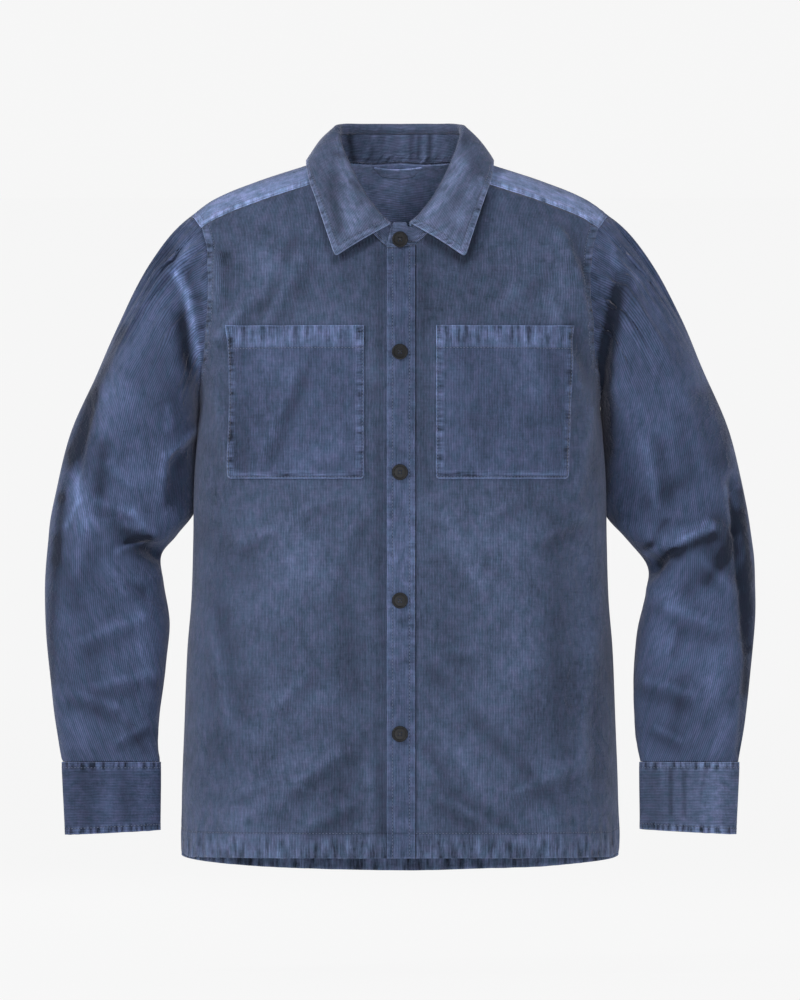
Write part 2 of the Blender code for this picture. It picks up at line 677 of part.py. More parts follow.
def yoke_outline():
    """The yoke's outer edge, from the right front seam round the back to the left one."""
    seam_turn = turn_of_drop((shoulder_height(BACK_SEAM_END) - BACK_SEAM - HALF_GAP) / SHOULDER_DROP)
    arm = []
    for k in range(YOKE_ARM_STEPS + 1):
        share = k / YOKE_ARM_STEPS
        turn = mix(FRONT_SEAM_TURN, seam_turn, share)
        bow = SHOULDER_POINT - 0.5 * (SEAM_END + BACK_SEAM_END)
        across = mix(SEAM_END, BACK_SEAM_END, share) + bow * math.sin(math.pi * share) ** 0.8
        arm.append((across, turn))
    outline = [(-across, turn) for across, turn in arm]
    for across in back_seam_places()[1:-1]:
        drop = (shoulder_height(across) - BACK_SEAM - HALF_GAP) / SHOULDER_DROP
        outline.append((across, turn_of_drop(drop)))
    return outline + list(reversed(arm))


def yoke_points():
    """The yoke's grid: columns run round the neck, rows from the neckline to the outer edge."""
    outline = yoke_outline()
    gap_turn = HALF_GAP / TURN_LENGTH
    columns = []
    for i, (far, far_turn) in enumerate(outline):
        if i <= YOKE_ARM_STEPS:
            share = 0.5 * YOKE_ARM_SHARE * i / YOKE_ARM_STEPS
        elif i >= YOKE_ARM_STEPS + BACK_COLUMNS:
            share = 1 - 0.5 * YOKE_ARM_SHARE * (len(outline) - 1 - i) / YOKE_ARM_STEPS
        else:
            middle = (i - YOKE_ARM_STEPS) / BACK_COLUMNS
            share = mix(0.5 * YOKE_ARM_SHARE, 1 - 0.5 * YOKE_ARM_SHARE, middle)
        near, near_turn = neck_place(share)
        ends = i in (0, len(outline) - 1)
        column = []
        for k in range(SEAM_STEPS + 1):
            across = mix(near, far, k / SEAM_STEPS)
            turn = mix(near_turn, far_turn, k / SEAM_STEPS) + (gap_turn if ends else 0.0)
            column.append(on_body(across, 0.0, FRONT if turn < 0 else BACK, turn))
        columns.append(column)
    return columns


def armhole_loop(front, back, yoke, hand):
    """Points and outward directions round one armhole, from the underarm up the front and down the back."""
    front_edge = front[-1]
    first = next(k for k, (point, _) in enumerate(front_edge) if point.z > UNDERARM - HALF_GAP)
    loop = list(front_edge[first:])
    edge = [column[-1] for column in yoke]
    arm = edge[:YOKE_ARM_STEPS + 1] if hand < 0 else list(reversed(edge[-YOKE_ARM_STEPS - 1:]))
    loop += arm[1:]
    back_edge = back[0] if hand < 0 else back[-1]
    down = [pair for pair in reversed(back_edge) if pair[0].z > UNDERARM - HALF_GAP]
    return loop + down[1:]


def clear_of_edge(loop):
    """The loop moved off the body's edge by the seam's gap."""
    centre = sum((point for point, _ in loop), Vector()) / len(loop)
    moved = []
    last = len(loop) - 1
    for k, (point, normal) in enumerate(loop):
        if k in (0, last):
            spot = Vector((point.x, 0.0, point.z + SEAM_GAP))
            moved.append((spot, normal))
            continue
        run = loop[k + 1][0] - loop[k - 1][0]
        away = normal.cross(run).normalized()
        if away.dot(centre - point) < 0:
            away = -away
        moved.append((point + away * SEAM_GAP, normal))
    return moved


def ring_angles(loop):
    """Angles round the sleeve's sections that match the armhole's points: 0 outside, half a turn inside."""
    lengths = [0.0]
    for k in range(1, len(loop)):
        lengths.append(lengths[-1] + (loop[k][0] - loop[k - 1][0]).length)
    top = max(range(len(loop)), key=lambda k: loop[k][0].z)
    angles = []
    for k, length in enumerate(lengths):
        if k <= top:
            angles.append(math.pi * (1 - length / lengths[top]))
        else:
            angles.append(-math.pi * (length - lengths[top]) / (lengths[-1] - lengths[top]))
    return angles


def read_section(rows, at):
    """One section between a sleeve's rows, by a smooth curve through them."""
    numbered = [(index, *row) for index, row in enumerate(rows)]
    return type(rows[0])(*(read_rows(numbered, at, k + 1) for k in range(len(rows[0]))))


def oval(row, angle, hand, squareness):
    """A point of an oval section: 0 at its outer end, a quarter turn at the front."""
    middle = Vector((0.5 * (row.inner_x + row.outer_x), row.mid_y, 0.5 * (row.inner_z + row.outer_z)))
    reach = Vector((0.5 * (row.outer_x - row.inner_x), 0.0, 0.5 * (row.outer_z - row.inner_z)))
    cosine, sine = math.cos(angle), math.sin(angle)
    wide = math.copysign(abs(cosine) ** (2 / squareness), cosine)
    deep = math.copysign(abs(sine) ** (2 / squareness), sine)
    point = middle + reach * wide + Vector((0.0, -row.half_depth * deep, 0.0))
    return Vector((hand * point.x, point.y, point.z))


def cap_point(start, away, row_point, down, share):
    """A point of the sleeve's cap, on a smooth curve from the armhole to the first whole section."""
    span = (row_point - start).length * CAP_TENSION * 2
    t = share
    a = (1 + 2 * t) * (1 - t) ** 2
    b = t * t * (3 - 2 * t)
    lead = t * (1 - t) ** 2
    trail = -t * t * (1 - t)
    return start * a + row_point * b + away * span * lead + down * span * trail


def sleeve_grid(loop, rows, folds, hand):
    """Outer points and outward directions of a sleeve, one list for each line along it."""
    angles = ring_angles(loop)
    columns = []
    last = len(loop) - 1
    for k, (start, normal) in enumerate(loop):
        if k in (0, last):
            away = Vector((0.0, 0.0, 1.0))
        else:
            run = loop[k + 1][0] - loop[k - 1][0]
            away = normal.cross(run).normalized() * -hand
        first = oval(read_section(rows, 0.0), angles[k], hand, SLEEVE_SQUARENESS)
        ahead = oval(read_section(rows, 0.2), angles[k], hand, SLEEVE_SQUARENESS)
        down = (ahead - first).normalized()
        column = [cap_point(start, away, first, down, share) for share in CAP_STEPS]
        for step in range(SLEEVE_RINGS + 1):
            at = (len(rows) - 1) * step / SLEEVE_RINGS
            column.append(oval(read_section(rows, at), angles[k], hand, SLEEVE_SQUARENESS))
        columns.append(column)
    normals = grid_normals(columns, closed=True)
    flip = -1.0 if normals[len(loop) // 2][-2].x * hand < 0 else 1.0
    for k, line in enumerate(normals):
        for j, normal in enumerate(line):
            line[j] = loop[k][1] if j == 0 else normal * flip
    for k, column in enumerate(columns):
        for j in range(1, len(column)):
            point, normal = column[j], normals[k][j]
            side = FRONT if normal.y < 0 else BACK
            fade = ease(abs(normal.y) / 0.5) * ease(j / 4)
            fade *= ease((point.z - rows[-1].inner_z) / FOLD_FADE)
            column[j] = point + normal * fold_lift(folds, point.x, point.z, side) * fade
    return [list(zip(column, line)) for column, line in zip(columns, normals)]


def cuff_grid(rows, hand):
    """A cuff's band, which laps over its own end behind."""
    columns = []
    for i in range(CUFF_COLUMNS + 1):
        angle = -CUFF_LAP_START - mix(0.0, 2 * math.pi + CUFF_LAP, i / CUFF_COLUMNS)
        from_end = (2 * math.pi + CUFF_LAP) * (1 - i / CUFF_COLUMNS)
        under = 1 - ease((from_end - CUFF_LAP) / CUFF_LAP_EASE)
        column = []
        for j in range(CUFF_STEPS + 1):
            share = j / CUFF_STEPS
            row = CuffRow(*(mix(a, b, share) for a, b in zip(*rows)))
            point = oval(row, angle, hand, 2.0)
            middle = Vector((hand * 0.5 * (row.inner_x + row.outer_x), row.mid_y, point.z))
            ahead = oval(row, angle + 0.01, hand, 2.0)
            fall = oval(rows[1], angle, hand, 2.0) - oval(rows[0], angle, hand, 2.0)
            normal = (ahead - point).cross(fall).normalized()
            if normal.dot(point - middle) < 0:
                normal = -normal
            depth = under * (CUFF_CLOTH + 2 * SEAM_GAP)
            column.append((point + normal * (CUFF_PROUD - depth), normal))
        columns.append(column)
    return columns


def collar_row(share):
    """Roll point, free edge, leg and bulge of the collar at a share of its half length."""
    share = min(max(share, 0.0), 1.0)
    values = [read_rows(COLLAR_ROWS, share, k) for k in range(1, 9)]
    return Vector(values[0:3]), Vector(values[3:6]), values[6], values[7]


def neck_samples(right_points, yoke, left_points):
    """Edges of the panels round the neckline, from the right front's end to the left front's."""
    right_neck = len(RIGHT_INNER_COLUMNS) - 1
    left_neck = len(LEFT_INNER_COLUMNS) - 1
    samples = [right_points[i][-1] for i in range(3, right_neck + 1)]
    samples += [column[0] for column in yoke[1:-1]]
    samples += [left_points[i][-1] for i in range(left_neck, -1, -1)]
    return samples


def lap_edge(across, lift, hand):
    """A point of one front's neckline near the middle, and the outward direction there."""
    point, normal = on_body(hand * across, read_rows(NECK_FRONT_ROWS, across, 1), FRONT)
    return point + normal * lift + Vector((0.0, 0.0, LAP_LIFT)), normal


# The stand's lap: how much of its depth is left at the lap's edge, and how soon it sinks as it rises
LAP_FADE = 0.6
SINK_SPEED = 1.5
# Past this share the collar runs straight across the middle of the back
BACK_MIDDLE_SHARE = 0.985


def stand_columns(samples):
    """The stand's lines: foot and its direction, how deep the lap puts it, and its row of the lap if any."""
    under = STAND_CLOTH + 2 * SEAM_GAP
    lines = [(lap_edge(row.foot_x, -PLACKET_DIP, -1), under, row) for row in reversed(UNDER_ROWS)]
    lines.append((lap_edge(LEAF_END, -PLACKET_DIP, -1), under, None))
    lines.append((lap_edge(UNDER_EDGE, -PLACKET_DIP, -1), under * LAP_FADE, None))
    lines.append((samples[0], 0.0, None))
    lines += [(sample, 0.0, None) for sample in samples[1:]]
    lines.append((lap_edge(LEAF_END, PLACKET_PROUD, 1), 0.0, None))
    lines += [(lap_edge(row.foot_x, PLACKET_PROUD, 1), 0.0, row) for row in LAP_ROWS]
    return lines


def stand_shares(lines):
    """Each line's place along the collar: 0 at its front ends, 1 in the middle of the back."""
    starts = [line[0][0] for line in lines]
    first, last = len(UNDER_ROWS), len(lines) - 1 - len(LAP_ROWS)
    lengths = [0.0] * len(lines)
    for k in range(first + 1, last + 1):
        lengths[k] = lengths[k - 1] + (starts[k] - starts[k - 1]).length
    whole = lengths[last]
    return first, last, [1 - abs(2 * length / whole - 1) for length in lengths]


def collar_frame(base, normal, share, hand):
    """Roll point, up and outward directions, free edge, leg and bulge of one line of the collar."""
    roll, edge, leg, bulge = collar_row(share)
    ahead = collar_row(share + 0.02)[0] - collar_row(share - 0.02)[0]
    for vector in (roll, edge, ahead):
        vector.x *= hand
    if share > BACK_MIDDLE_SHARE:
        ahead = Vector((-hand, 0.0, 0.0))
    up = (roll - base).normalized()
    out = ahead.cross(up).normalized()
    if out.dot(normal + Vector((base.x, base.y, 0.0)).normalized()) < 0:
        out = -out
    return roll, up, out, edge, leg, bulge


def build_collar(samples):
    """The stand's and the leaf's grids, which meet along the stand's upper edge."""
    lines = stand_columns(samples)
    first, last, shares = stand_shares(lines)
    middle = (first + last) / 2
    stand_outer, stand_inner, leaf = [], [], []
    for k, (pair, depth, lap) in enumerate(lines):
        base, normal = pair
        hand = -1 if k <= middle else 1
        roll, up, out, edge, leg, bulge = collar_frame(base, normal, shares[k], hand)
        if lap:
            roll = Vector((hand * lap.top_x, LAP_TOP_Y, lap.top_z))
            up = (roll - base).normalized()
            out = Vector((0.0, -1.0, 0.0))
            leg = 0.0
        out = (out - up * out.dot(up)).normalized()
        top = roll - up * leg
        foot_outer = base + up * SEAM_GAP
        foot_inner = base - normal * CLOTH + up * SEAM_GAP
        face = [foot_outer]
        back = [foot_inner]
        for j in range(1, 4):
            share = j / 3
            sink = out * depth * ease(share * SINK_SPEED)
            spot = mix(foot_outer, top + out * (STAND_CLOTH / 2), share) - sink
            face.append(spot)
            back.append(spot - out * STAND_CLOTH)
        stand_outer.append(face)
        stand_inner.append(back)
        if first <= k <= last:
            leaf.append(leaf_line(top - out * depth, roll - out * depth, up, out, edge, bulge))
    return stand_outer, stand_inner, leaf


def leaf_line(top, roll, up, out, edge, bulge):
    """The collar's middle surface along one line: up its short leg, over the roll and down to the edge."""
    centre = roll - up * ROLL_RADIUS + out * ROLL_RADIUS
    line = [top + up * LEAF_GAP]
    for angle in (180, 125, 70, 15):
        turn = math.radians(angle)
        line.append(centre + (out * math.cos(turn) + up * math.sin(turn)) * ROLL_RADIUS)
    start = line[-1]
    fall = edge - start
    crown = (out + up * 0.5).normalized()
    for share in (0.22, 0.48, 0.75, 1.0):
        line.append(start + fall * share + crown * bulge * math.sin(math.pi * share))
    return line


def leaf_faces(leaf):
    """The two faces of the collar, half its thickness either side of its middle surface."""
    normals = grid_normals(leaf)
    half = COLLAR_CLOTH / 2
    if normals[len(leaf) // 2][-1].y < 0:
        half = -half
    outer = [[p + n * half for p, n in zip(*pair)] for pair in zip(leaf, normals)]
    inner = [[p - n * half for p, n in zip(*pair)] for pair in zip(leaf, normals)]
    return outer, inner


def loop_points():
    """The hanger loop's grid, just inside the yoke."""
    columns = []
    for i in range(LOOP_COLUMNS + 1):
        share = i / LOOP_COLUMNS
        column = []
        for k in range(3):
            drop = k / 2
            half = mix(LOOP_HALF_TOP, LOOP_HALF_LOW, drop)
            across = LOOP_MIDDLE + mix(-half, half, share)
            height = mix(LOOP_TOP, LOOP_LOW, drop)
            turn = turn_of_drop((shoulder_height(across) - height) / SHOULDER_DROP)
            point, normal = on_body(across, height, BACK, turn)
            off = CLOTH + SEAM_GAP + LOOP_OUT * math.sin(math.pi * share)
            column.append((point - normal * off, normal))
        columns.append(column)
    return columns


def button_mesh(cutters):
    """One button, turned from its profile, with four holes cut through."""
    face = BUTTON_THICK - BUTTON_DISH
    profile = (
        (0.0, 0.0), (BUTTON_RADIUS - BUTTON_EDGE, 0.0), (BUTTON_RADIUS, 0.5 * BUTTON_THICK),
        (BUTTON_RADIUS - BUTTON_EDGE, BUTTON_THICK), (BUTTON_RADIUS - BUTTON_RIM, BUTTON_THICK),
        (BUTTON_RADIUS - 2 * BUTTON_RIM, face), (0.0, face),
    )
    mesh = bmesh.new()
    verts = [mesh.verts.new((x, 0.0, z)) for x, z in profile]
    edges = [mesh.edges.new(pair) for pair in zip(verts, verts[1:])]
    bmesh.ops.spin(mesh, geom=verts + edges, cent=(0, 0, 0), axis=(0, 0, 1), angle=2 * math.pi,
                   steps=BUTTON_SIDES, use_merge=True)
    bmesh.ops.remove_doubles(mesh, verts=mesh.verts, dist=0.00001)
    bmesh.ops.recalc_face_normals(mesh, faces=mesh.faces)
    data = bpy.data.meshes.new("button")
    mesh.to_mesh(data)
    mesh.free()
    blank = bpy.data.objects.new("button_blank", data)
    cutters.objects.link(blank)
    blank.hide_render = True
    blank.display_type = "WIRE"
    drill = bmesh.new()
    for k in range(4):
        turn = math.radians(45 + 90 * k)
        made = bmesh.ops.create_cone(drill, cap_ends=True, segments=HOLE_SIDES, radius1=BUTTON_HOLE,
                                     radius2=BUTTON_HOLE, depth=4 * BUTTON_THICK)
        shift = Vector((math.cos(turn), math.sin(turn), 0.0)) * BUTTON_HOLE_OUT
        bmesh.ops.translate(drill, verts=made["verts"], vec=shift)
    holes_data = bpy.data.meshes.new("button_holes")
    drill.to_mesh(holes_data)
    drill.free()
    holes = bpy.data.objects.new("button_holes", holes_data)
    cutters.objects.link(holes)
    holes.hide_render = True
    holes.display_type = "WIRE"
    cut = blank.modifiers.new("holes", "BOOLEAN")
    cut.operation = "DIFFERENCE"
    cut.object = holes
    bpy.context.view_layer.update()
    depsgraph = bpy.context.evaluated_depsgraph_get()
    drilled = bpy.data.meshes.new_from_object(blank.evaluated_get(depsgraph))
    drilled.name = "button_drilled"
    bpy.data.objects.remove(blank, do_unlink=True)
    return drilled


def set_button(name, data, spot, normal, material, garment, holder):
    """One button on its cloth, facing outwards."""
    piece = bpy.data.objects.new(name, data)
    if not data.materials:
        data.materials.append(material)
    garment.objects.link(piece)
    piece.parent = holder
    piece.location = spot + normal * SEAM_GAP
    piece.rotation_euler = normal.to_track_quat("Z", "Y").to_euler()
    return piece


def main():
    """Cut, place and button the garment."""
    clear_scene()
    garment = bpy.data.collections.new("shacket")
    cutters = bpy.data.collections.new("cutters")
    bpy.context.scene.collection.children.link(garment)
    bpy.context.scene.collection.children.link(cutters)
    holder = bpy.data.objects.new("shacket_frame", None)
    garment.objects.link(holder)

    right = front_points(RIGHT_INNER_COLUMNS, -1)
    left = front_points(LEFT_INNER_COLUMNS, 1)
    back = back_points()
    yoke = yoke_points()

    body = finish("body_cloth", FRONT_BLUE, 0.9)
    pale = finish("trim_cloth", PALE_BLUE, 0.9)
    collar_finish = finish("collar_cloth", COLLAR_BLUE, 0.9)
    sleeve_finish = finish("sleeve_cloth", SLEEVE_BLUE, 0.9)
    dark = finish("button_dark", BUTTON_DARK, 0.55)

    add_piece("right_front", make_right_front(right), body.copy(), garment, holder)
    add_piece("left_front", cloth_wall("left_front", *faces_of(left, 0.0, CLOTH)), body.copy(),
              garment, holder)
    add_piece("back", cloth_wall("back", *faces_of(back, 0.0, CLOTH)), body.copy(), garment, holder)
    add_piece("yoke", cloth_wall("yoke", *faces_of(yoke, 0.0, CLOTH)), pale.copy(), garment, holder)

    placket = placket_points()
    add_piece("placket", cloth_wall("placket", *faces_of(placket, PLACKET_PROUD, PLACKET_CLOTH)),
              pale.copy(), garment, holder)
    lift = SEAM_GAP + POCKET_CLOTH
    for name, points, first in (("right_pocket", right, 4), ("left_pocket", left, 2)):
        wall = cloth_wall(name, *faces_of(pocket_points(points, first), lift, POCKET_CLOTH))
        add_piece(name, wall, pale.copy(), garment, holder)

    for name, hand, front, rows, folds, cuff_rows in (
            ("right", -1, right, RIGHT_SLEEVE_ROWS, RIGHT_SLEEVE_FOLDS, RIGHT_CUFF_ROWS),
            ("left", 1, left, LEFT_SLEEVE_ROWS, LEFT_SLEEVE_FOLDS, LEFT_CUFF_ROWS)):
        loop = clear_of_edge(armhole_loop(front, back, yoke, hand))
        sleeve = sleeve_grid(loop, rows, folds, hand)
        wall = cloth_wall(name + "_sleeve", *faces_of(sleeve, 0.0, CLOTH), closed=True)
        add_piece(name + "_sleeve", wall, sleeve_finish.copy(), garment, holder)
        cuff = cuff_grid(cuff_rows, hand)
        wall = cloth_wall(name + "_cuff", *faces_of(cuff, 0.0, CUFF_CLOTH))
        add_piece(name + "_cuff", wall, pale.copy(), garment, holder)

    stand_outer, stand_inner, leaf = build_collar(neck_samples(right, yoke, left))
    add_piece("collar_stand", cloth_wall("collar_stand", stand_outer, stand_inner), pale.copy(),
              garment, holder)
    add_piece("collar", cloth_wall("collar", *leaf_faces(leaf)), collar_finish, garment, holder)
    wall = cloth_wall("hanger_loop", *faces_of(loop_points(), 0.0, LOOP_CLOTH))
    add_piece("hanger_loop", wall, pale.copy(), garment, holder)

    data = button_mesh(cutters)
    data.shade_smooth()
    data.set_sharp_from_angle(angle=math.radians(40))
    for number, height in enumerate(FRONT_BUTTON_HEIGHTS, start=1):
        if number == 1:
            low, high = stand_outer[-3][0], stand_outer[-3][-1]
            spot = mix(low, high, (height - low.z) / (high.z - low.z))
            spot += Vector((-spot.x, -BUTTON_STAND_OFF, 0.0))
            normal = Vector((0.0, -1.0, 0.15)).normalized()
        else:
            point, normal = on_body(0.0, height, FRONT)
            spot = point + normal * PLACKET_PROUD
        set_button(f"front_button_{number}", data, spot, normal, dark, garment, holder)
    for name, hand, rows in (("right", -1, RIGHT_CUFF_ROWS), ("left", 1, LEFT_CUFF_ROWS)):
        cuff = cuff_grid(rows, hand)
        point, normal = cuff[1][1]
        spot = mix(point, cuff[1][2][0], 0.5) + normal * BUTTON_STAND_OFF
        set_button(name + "_cuff_button", data, spot, normal, dark, garment, holder)


main()
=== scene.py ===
"""The looks of a washed corduroy overshirt, filled out as it is worn, with nobody in it.

Every cloth piece is a thin shell on its solid's form, with its own wales, stitching, creases, rubbed edges,
and painted light, shade and fading.
Metres, +Z up, the front faces -Y and the wearer's left is +X.
"""
import logging
import math
from dataclasses import dataclass, field
from enum import Enum
from typing import NamedTuple, Optional, Sequence

import bmesh
import bpy
import numpy as np
from mathutils import Matrix, Vector


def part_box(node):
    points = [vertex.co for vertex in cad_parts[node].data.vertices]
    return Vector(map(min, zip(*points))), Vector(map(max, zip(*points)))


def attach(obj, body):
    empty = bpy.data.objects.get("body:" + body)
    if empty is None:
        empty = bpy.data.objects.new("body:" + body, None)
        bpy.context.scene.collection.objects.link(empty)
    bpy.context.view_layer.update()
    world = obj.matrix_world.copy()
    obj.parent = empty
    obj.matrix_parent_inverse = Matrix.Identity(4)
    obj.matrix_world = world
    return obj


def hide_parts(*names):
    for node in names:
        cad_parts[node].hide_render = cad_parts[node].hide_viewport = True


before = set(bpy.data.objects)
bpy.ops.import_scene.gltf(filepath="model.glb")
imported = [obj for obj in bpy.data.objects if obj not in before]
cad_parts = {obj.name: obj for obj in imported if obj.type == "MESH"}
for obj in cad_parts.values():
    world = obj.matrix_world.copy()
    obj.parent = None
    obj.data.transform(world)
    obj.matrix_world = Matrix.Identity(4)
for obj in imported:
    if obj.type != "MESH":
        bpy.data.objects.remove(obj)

LOG = logging.getLogger("overshirt")
Array = np.ndarray
Material = bpy.types.Material
Socket = bpy.types.NodeSocket

CLOTH = 0.0020
SEAM_GAP = 0.0003
HALF_GAP = SEAM_GAP / 2
HEM = -0.7356
POCKET_TOP = -0.1728
POCKET_BOTTOM = -0.3346
UNDERARM = (POCKET_TOP + POCKET_BOTTOM) / 2
BACK_SEAM = -0.1050
SIDE_RISE = 0.0040
BACK_HEM_SIDE = -0.7345
BACK_HEM_DROP = 0.0192
SQUARENESS = 2.5
SHOULDER_DROP = 0.090
FRONT_SEAM_TURN = -0.457
NECK_END = 0.070
SEAM_END = 0.211
SHOULDER_POINT = 0.224
BACK_SEAM_END = 0.214
PLACKET_PROUD = 0.0016
PLACKET_DIP = 0.0010
TURN_LENGTH = 0.116
CREASE_STRENGTH = 1.35
TENTHS = 10000.0
CLOSE_ENOUGH = 0.00001
BROAD_FOLD = 0.012
BROAD_SHARE = 0.18
# Painted highlight on fold crests, painted shade in troughs and painted shade beside tucks, with the lifts
# that they scale by.
CREST_HIGHLIGHT, CREST_LIFT = 0.14, 0.0022
TROUGH_SHADE, TROUGH_LIFT = 0.20, 0.0028
TUCK_PAINTED_SHADE = 0.23
TUCK_OUT, TUCK_SHADE_OUT, TUCK_SHADE_WIDTH = 1.7, 1.6, 1.1
MOST_TONE = 1.3
CUFF_BUTTON_TURN, CUFF_TURN = 15.6, 406
UP = Vector((0.0, 0.0, 1.0))


class Side(Enum):
    """The front or the back of the garment."""

    FRONT = -1
    BACK = 1


class Edge(Enum):
    """One edge of a piece's grid of points."""

    FIRST_COLUMN = 0
    LAST_COLUMN = 1
    FIRST_ROW = 2
    LAST_ROW = 3


def ease(value: Array) -> Array:
    """A smooth step from 0 to 1."""
    value = np.clip(value, 0.0, 1.0)
    return value * value * (3 - 2 * value)


def unit(vectors: Array) -> Array:
    """Vectors brought to length one, along the last axis."""
    length = np.linalg.norm(vectors, axis=-1, keepdims=True)
    return vectors / np.maximum(length, 1e-12)


def mix(first: Array, second: Array, share: Array) -> Array:
    """A value part of the way from one to another."""
    return first + (second - first) * share


@dataclass(frozen=True)
class Table:
    """A short table of sizes, read on a smooth curve through its rows."""

    rows: tuple[tuple[float, ...], ...]

    def read(self, at: Array, column: int = 1) -> Array:
        """One column's values.

        Args:
            at: Places along the first column.
            column: The column that is read.

        Returns:
            The values there.
        """
        table = np.asarray(self.rows, dtype=float)
        place, value = table[:, 0], table[:, column]
        at = np.clip(np.asarray(at, dtype=float), place[0], place[-1])
        index = np.clip(np.searchsorted(place, at) - 1, 0, len(place) - 2)
        order = np.arange(len(place))
        low, high = np.maximum(order - 1, 0), np.minimum(order + 1, len(place) - 1)
        slope = (value[high] - value[low]) / (place[high] - place[low])
        step = place[index + 1] - place[index]
        t = (at - place[index]) / step
        smooth = value[index] * (1 + 2 * t) * (1 - t) ** 2 + value[index + 1] * t * t * (3 - 2 * t)
        return smooth + slope[index] * step * t * (1 - t) ** 2 - slope[index + 1] * step * t * t * (1 - t)


# height, half width, depth in front, depth behind
BODY = Table((
    (-0.760, 0.2325, 0.1285, 0.1150), (-0.670, 0.2320, 0.1270, 0.1120), (-0.592, 0.2292, 0.1255, 0.1080),
    (-0.516, 0.2262, 0.1250, 0.1060), (-0.464, 0.2220, 0.1250, 0.1050), (-0.400, 0.2200, 0.1260, 0.1055),
    (-0.336, 0.2190, 0.1270, 0.1100), (-0.281, 0.2152, 0.1260, 0.1160), (-0.254, 0.2132, 0.1235, 0.1180),
    (-0.200, 0.2195, 0.1150, 0.1185), (-0.150, 0.2310, 0.1020, 0.1170), (-0.100, 0.2400, 0.0810, 0.1110),
    (-0.050, 0.2455, 0.0660, 0.1040), (0.000, 0.2470, 0.0590, 0.0950), (0.030, 0.2470, 0.0560, 0.0880),
))
# distance from the middle, height of the shoulder line
SHOULDER = Table((
    (0.000, 0.0220), (0.040, 0.0170), (0.077, 0.0065), (0.099, -0.0010), (0.151, -0.0180),
    (0.197, -0.0370), (0.224, -0.0565), (0.247, -0.0780),
))
# height, the front's reach, the back's reach
ARMHOLE = Table((
    (UNDERARM, 0.2132, 0.2132), (-0.229, 0.2117, 0.2125), (-0.205, 0.2078, 0.2105), (-0.168, 0.2040, 0.2090),
    (-0.132, 0.2017, 0.2092), (-0.095, 0.2040, 0.2130), (-0.067, 0.2110, 0.2160),
))
# distance from the middle, height of the neckline in front
NECK_FRONT = Table((
    (-0.0145, -0.0900), (0.0000, -0.0900), (0.0100, -0.0884), (0.0162, -0.0870), (0.0300, -0.0740),
    (0.0450, -0.0570), (0.0580, -0.0395), (0.0660, -0.0255), (0.0700, -0.0138),
))
# share from a front seam to the middle of the back, distance from the middle, turn
NECK_BACK = Table((
    (0.00, 0.0700, FRONT_SEAM_TURN), (0.16, 0.0722, -0.2400), (0.30, 0.0715, -0.0200), (0.46, 0.0665, 0.1750),
    (0.62, 0.0540, 0.3050), (0.81, 0.0290, 0.3950), (1.00, 0.0000, 0.4120),
))
# share from an end to the middle of the back, roll x y z, free edge x y z, leg, bulge
COLLAR = Table((
    (0.000, 0.0105, -0.0715, -0.0640, 0.0690, -0.0885, -0.0996, 0.0045, 0.0015),
    (0.112, 0.0230, -0.0650, -0.0530, 0.0735, -0.0850, -0.0860, 0.0050, 0.0040),
    (0.245, 0.0395, -0.0520, -0.0305, 0.0800, -0.0775, -0.0660, 0.0060, 0.0065),
    (0.430, 0.0570, -0.0260, 0.0050, 0.0900, -0.0600, -0.0360, 0.0075, 0.0080),
    (0.515, 0.0625, -0.0070, 0.0255, 0.0965, -0.0410, -0.0160, 0.0090, 0.0060),
    (0.590, 0.0640, 0.0090, 0.0380, 0.0988, -0.0190, 0.0000, 0.0100, 0.0030),
    (0.705, 0.0585, 0.0270, 0.0420, 0.0955, 0.0180, 0.0035, 0.0100, 0.0020),
    (0.860, 0.0350, 0.0440, 0.0425, 0.0610, 0.0620, -0.0035, 0.0100, 0.0040),
    (1.000, 0.0000, 0.0500, 0.0425, 0.0000, 0.0780, -0.0070, 0.0100, 0.0040),
))
# inner x, inner z, outer x, outer z, middle y, half depth, down each sleeve
RIGHT_SECTIONS = (
    (0.2136, -0.2700, 0.3210, -0.2190, 0.014, 0.078), (0.2150, -0.3180, 0.3500, -0.2850, 0.030, 0.066),
    (0.2165, -0.3640, 0.3695, -0.3620, 0.028, 0.056), (0.2370, -0.3940, 0.3755, -0.4050, 0.010, 0.051),
    (0.2540, -0.4160, 0.3775, -0.4400, 0.004, 0.047), (0.2515, -0.4460, 0.3775, -0.4700, -0.004, 0.046),
    (0.2455, -0.4900, 0.3755, -0.5080, -0.013, 0.042), (0.2490, -0.5350, 0.3715, -0.5480, -0.024, 0.038),
    (0.2545, -0.5780, 0.3670, -0.5850, -0.033, 0.031), (0.2570, -0.6130, 0.3610, -0.6160, -0.040, 0.024),
    (0.2548, -0.6347, 0.3578, -0.6347, -0.044, 0.0175),
)
LEFT_SECTIONS = (
    (0.2136, -0.2700, 0.3220, -0.2170, 0.014, 0.078), (0.2150, -0.3180, 0.3505, -0.2850, 0.030, 0.066),
    (0.2165, -0.3660, 0.3690, -0.3620, 0.028, 0.056), (0.2400, -0.3970, 0.3760, -0.4080, 0.010, 0.051),
    (0.2625, -0.4260, 0.3780, -0.4460, 0.004, 0.047), (0.2620, -0.4520, 0.3780, -0.4760, -0.004, 0.045),
    (0.2520, -0.4980, 0.3755, -0.5160, -0.014, 0.042), (0.2480, -0.5450, 0.3715, -0.5560, -0.025, 0.038),
    (0.2490, -0.5900, 0.3665, -0.5920, -0.034, 0.031), (0.2520, -0.6170, 0.3620, -0.6180, -0.041, 0.024),
    (0.2550, -0.6347, 0.3590, -0.6347, -0.044, 0.0175),
)
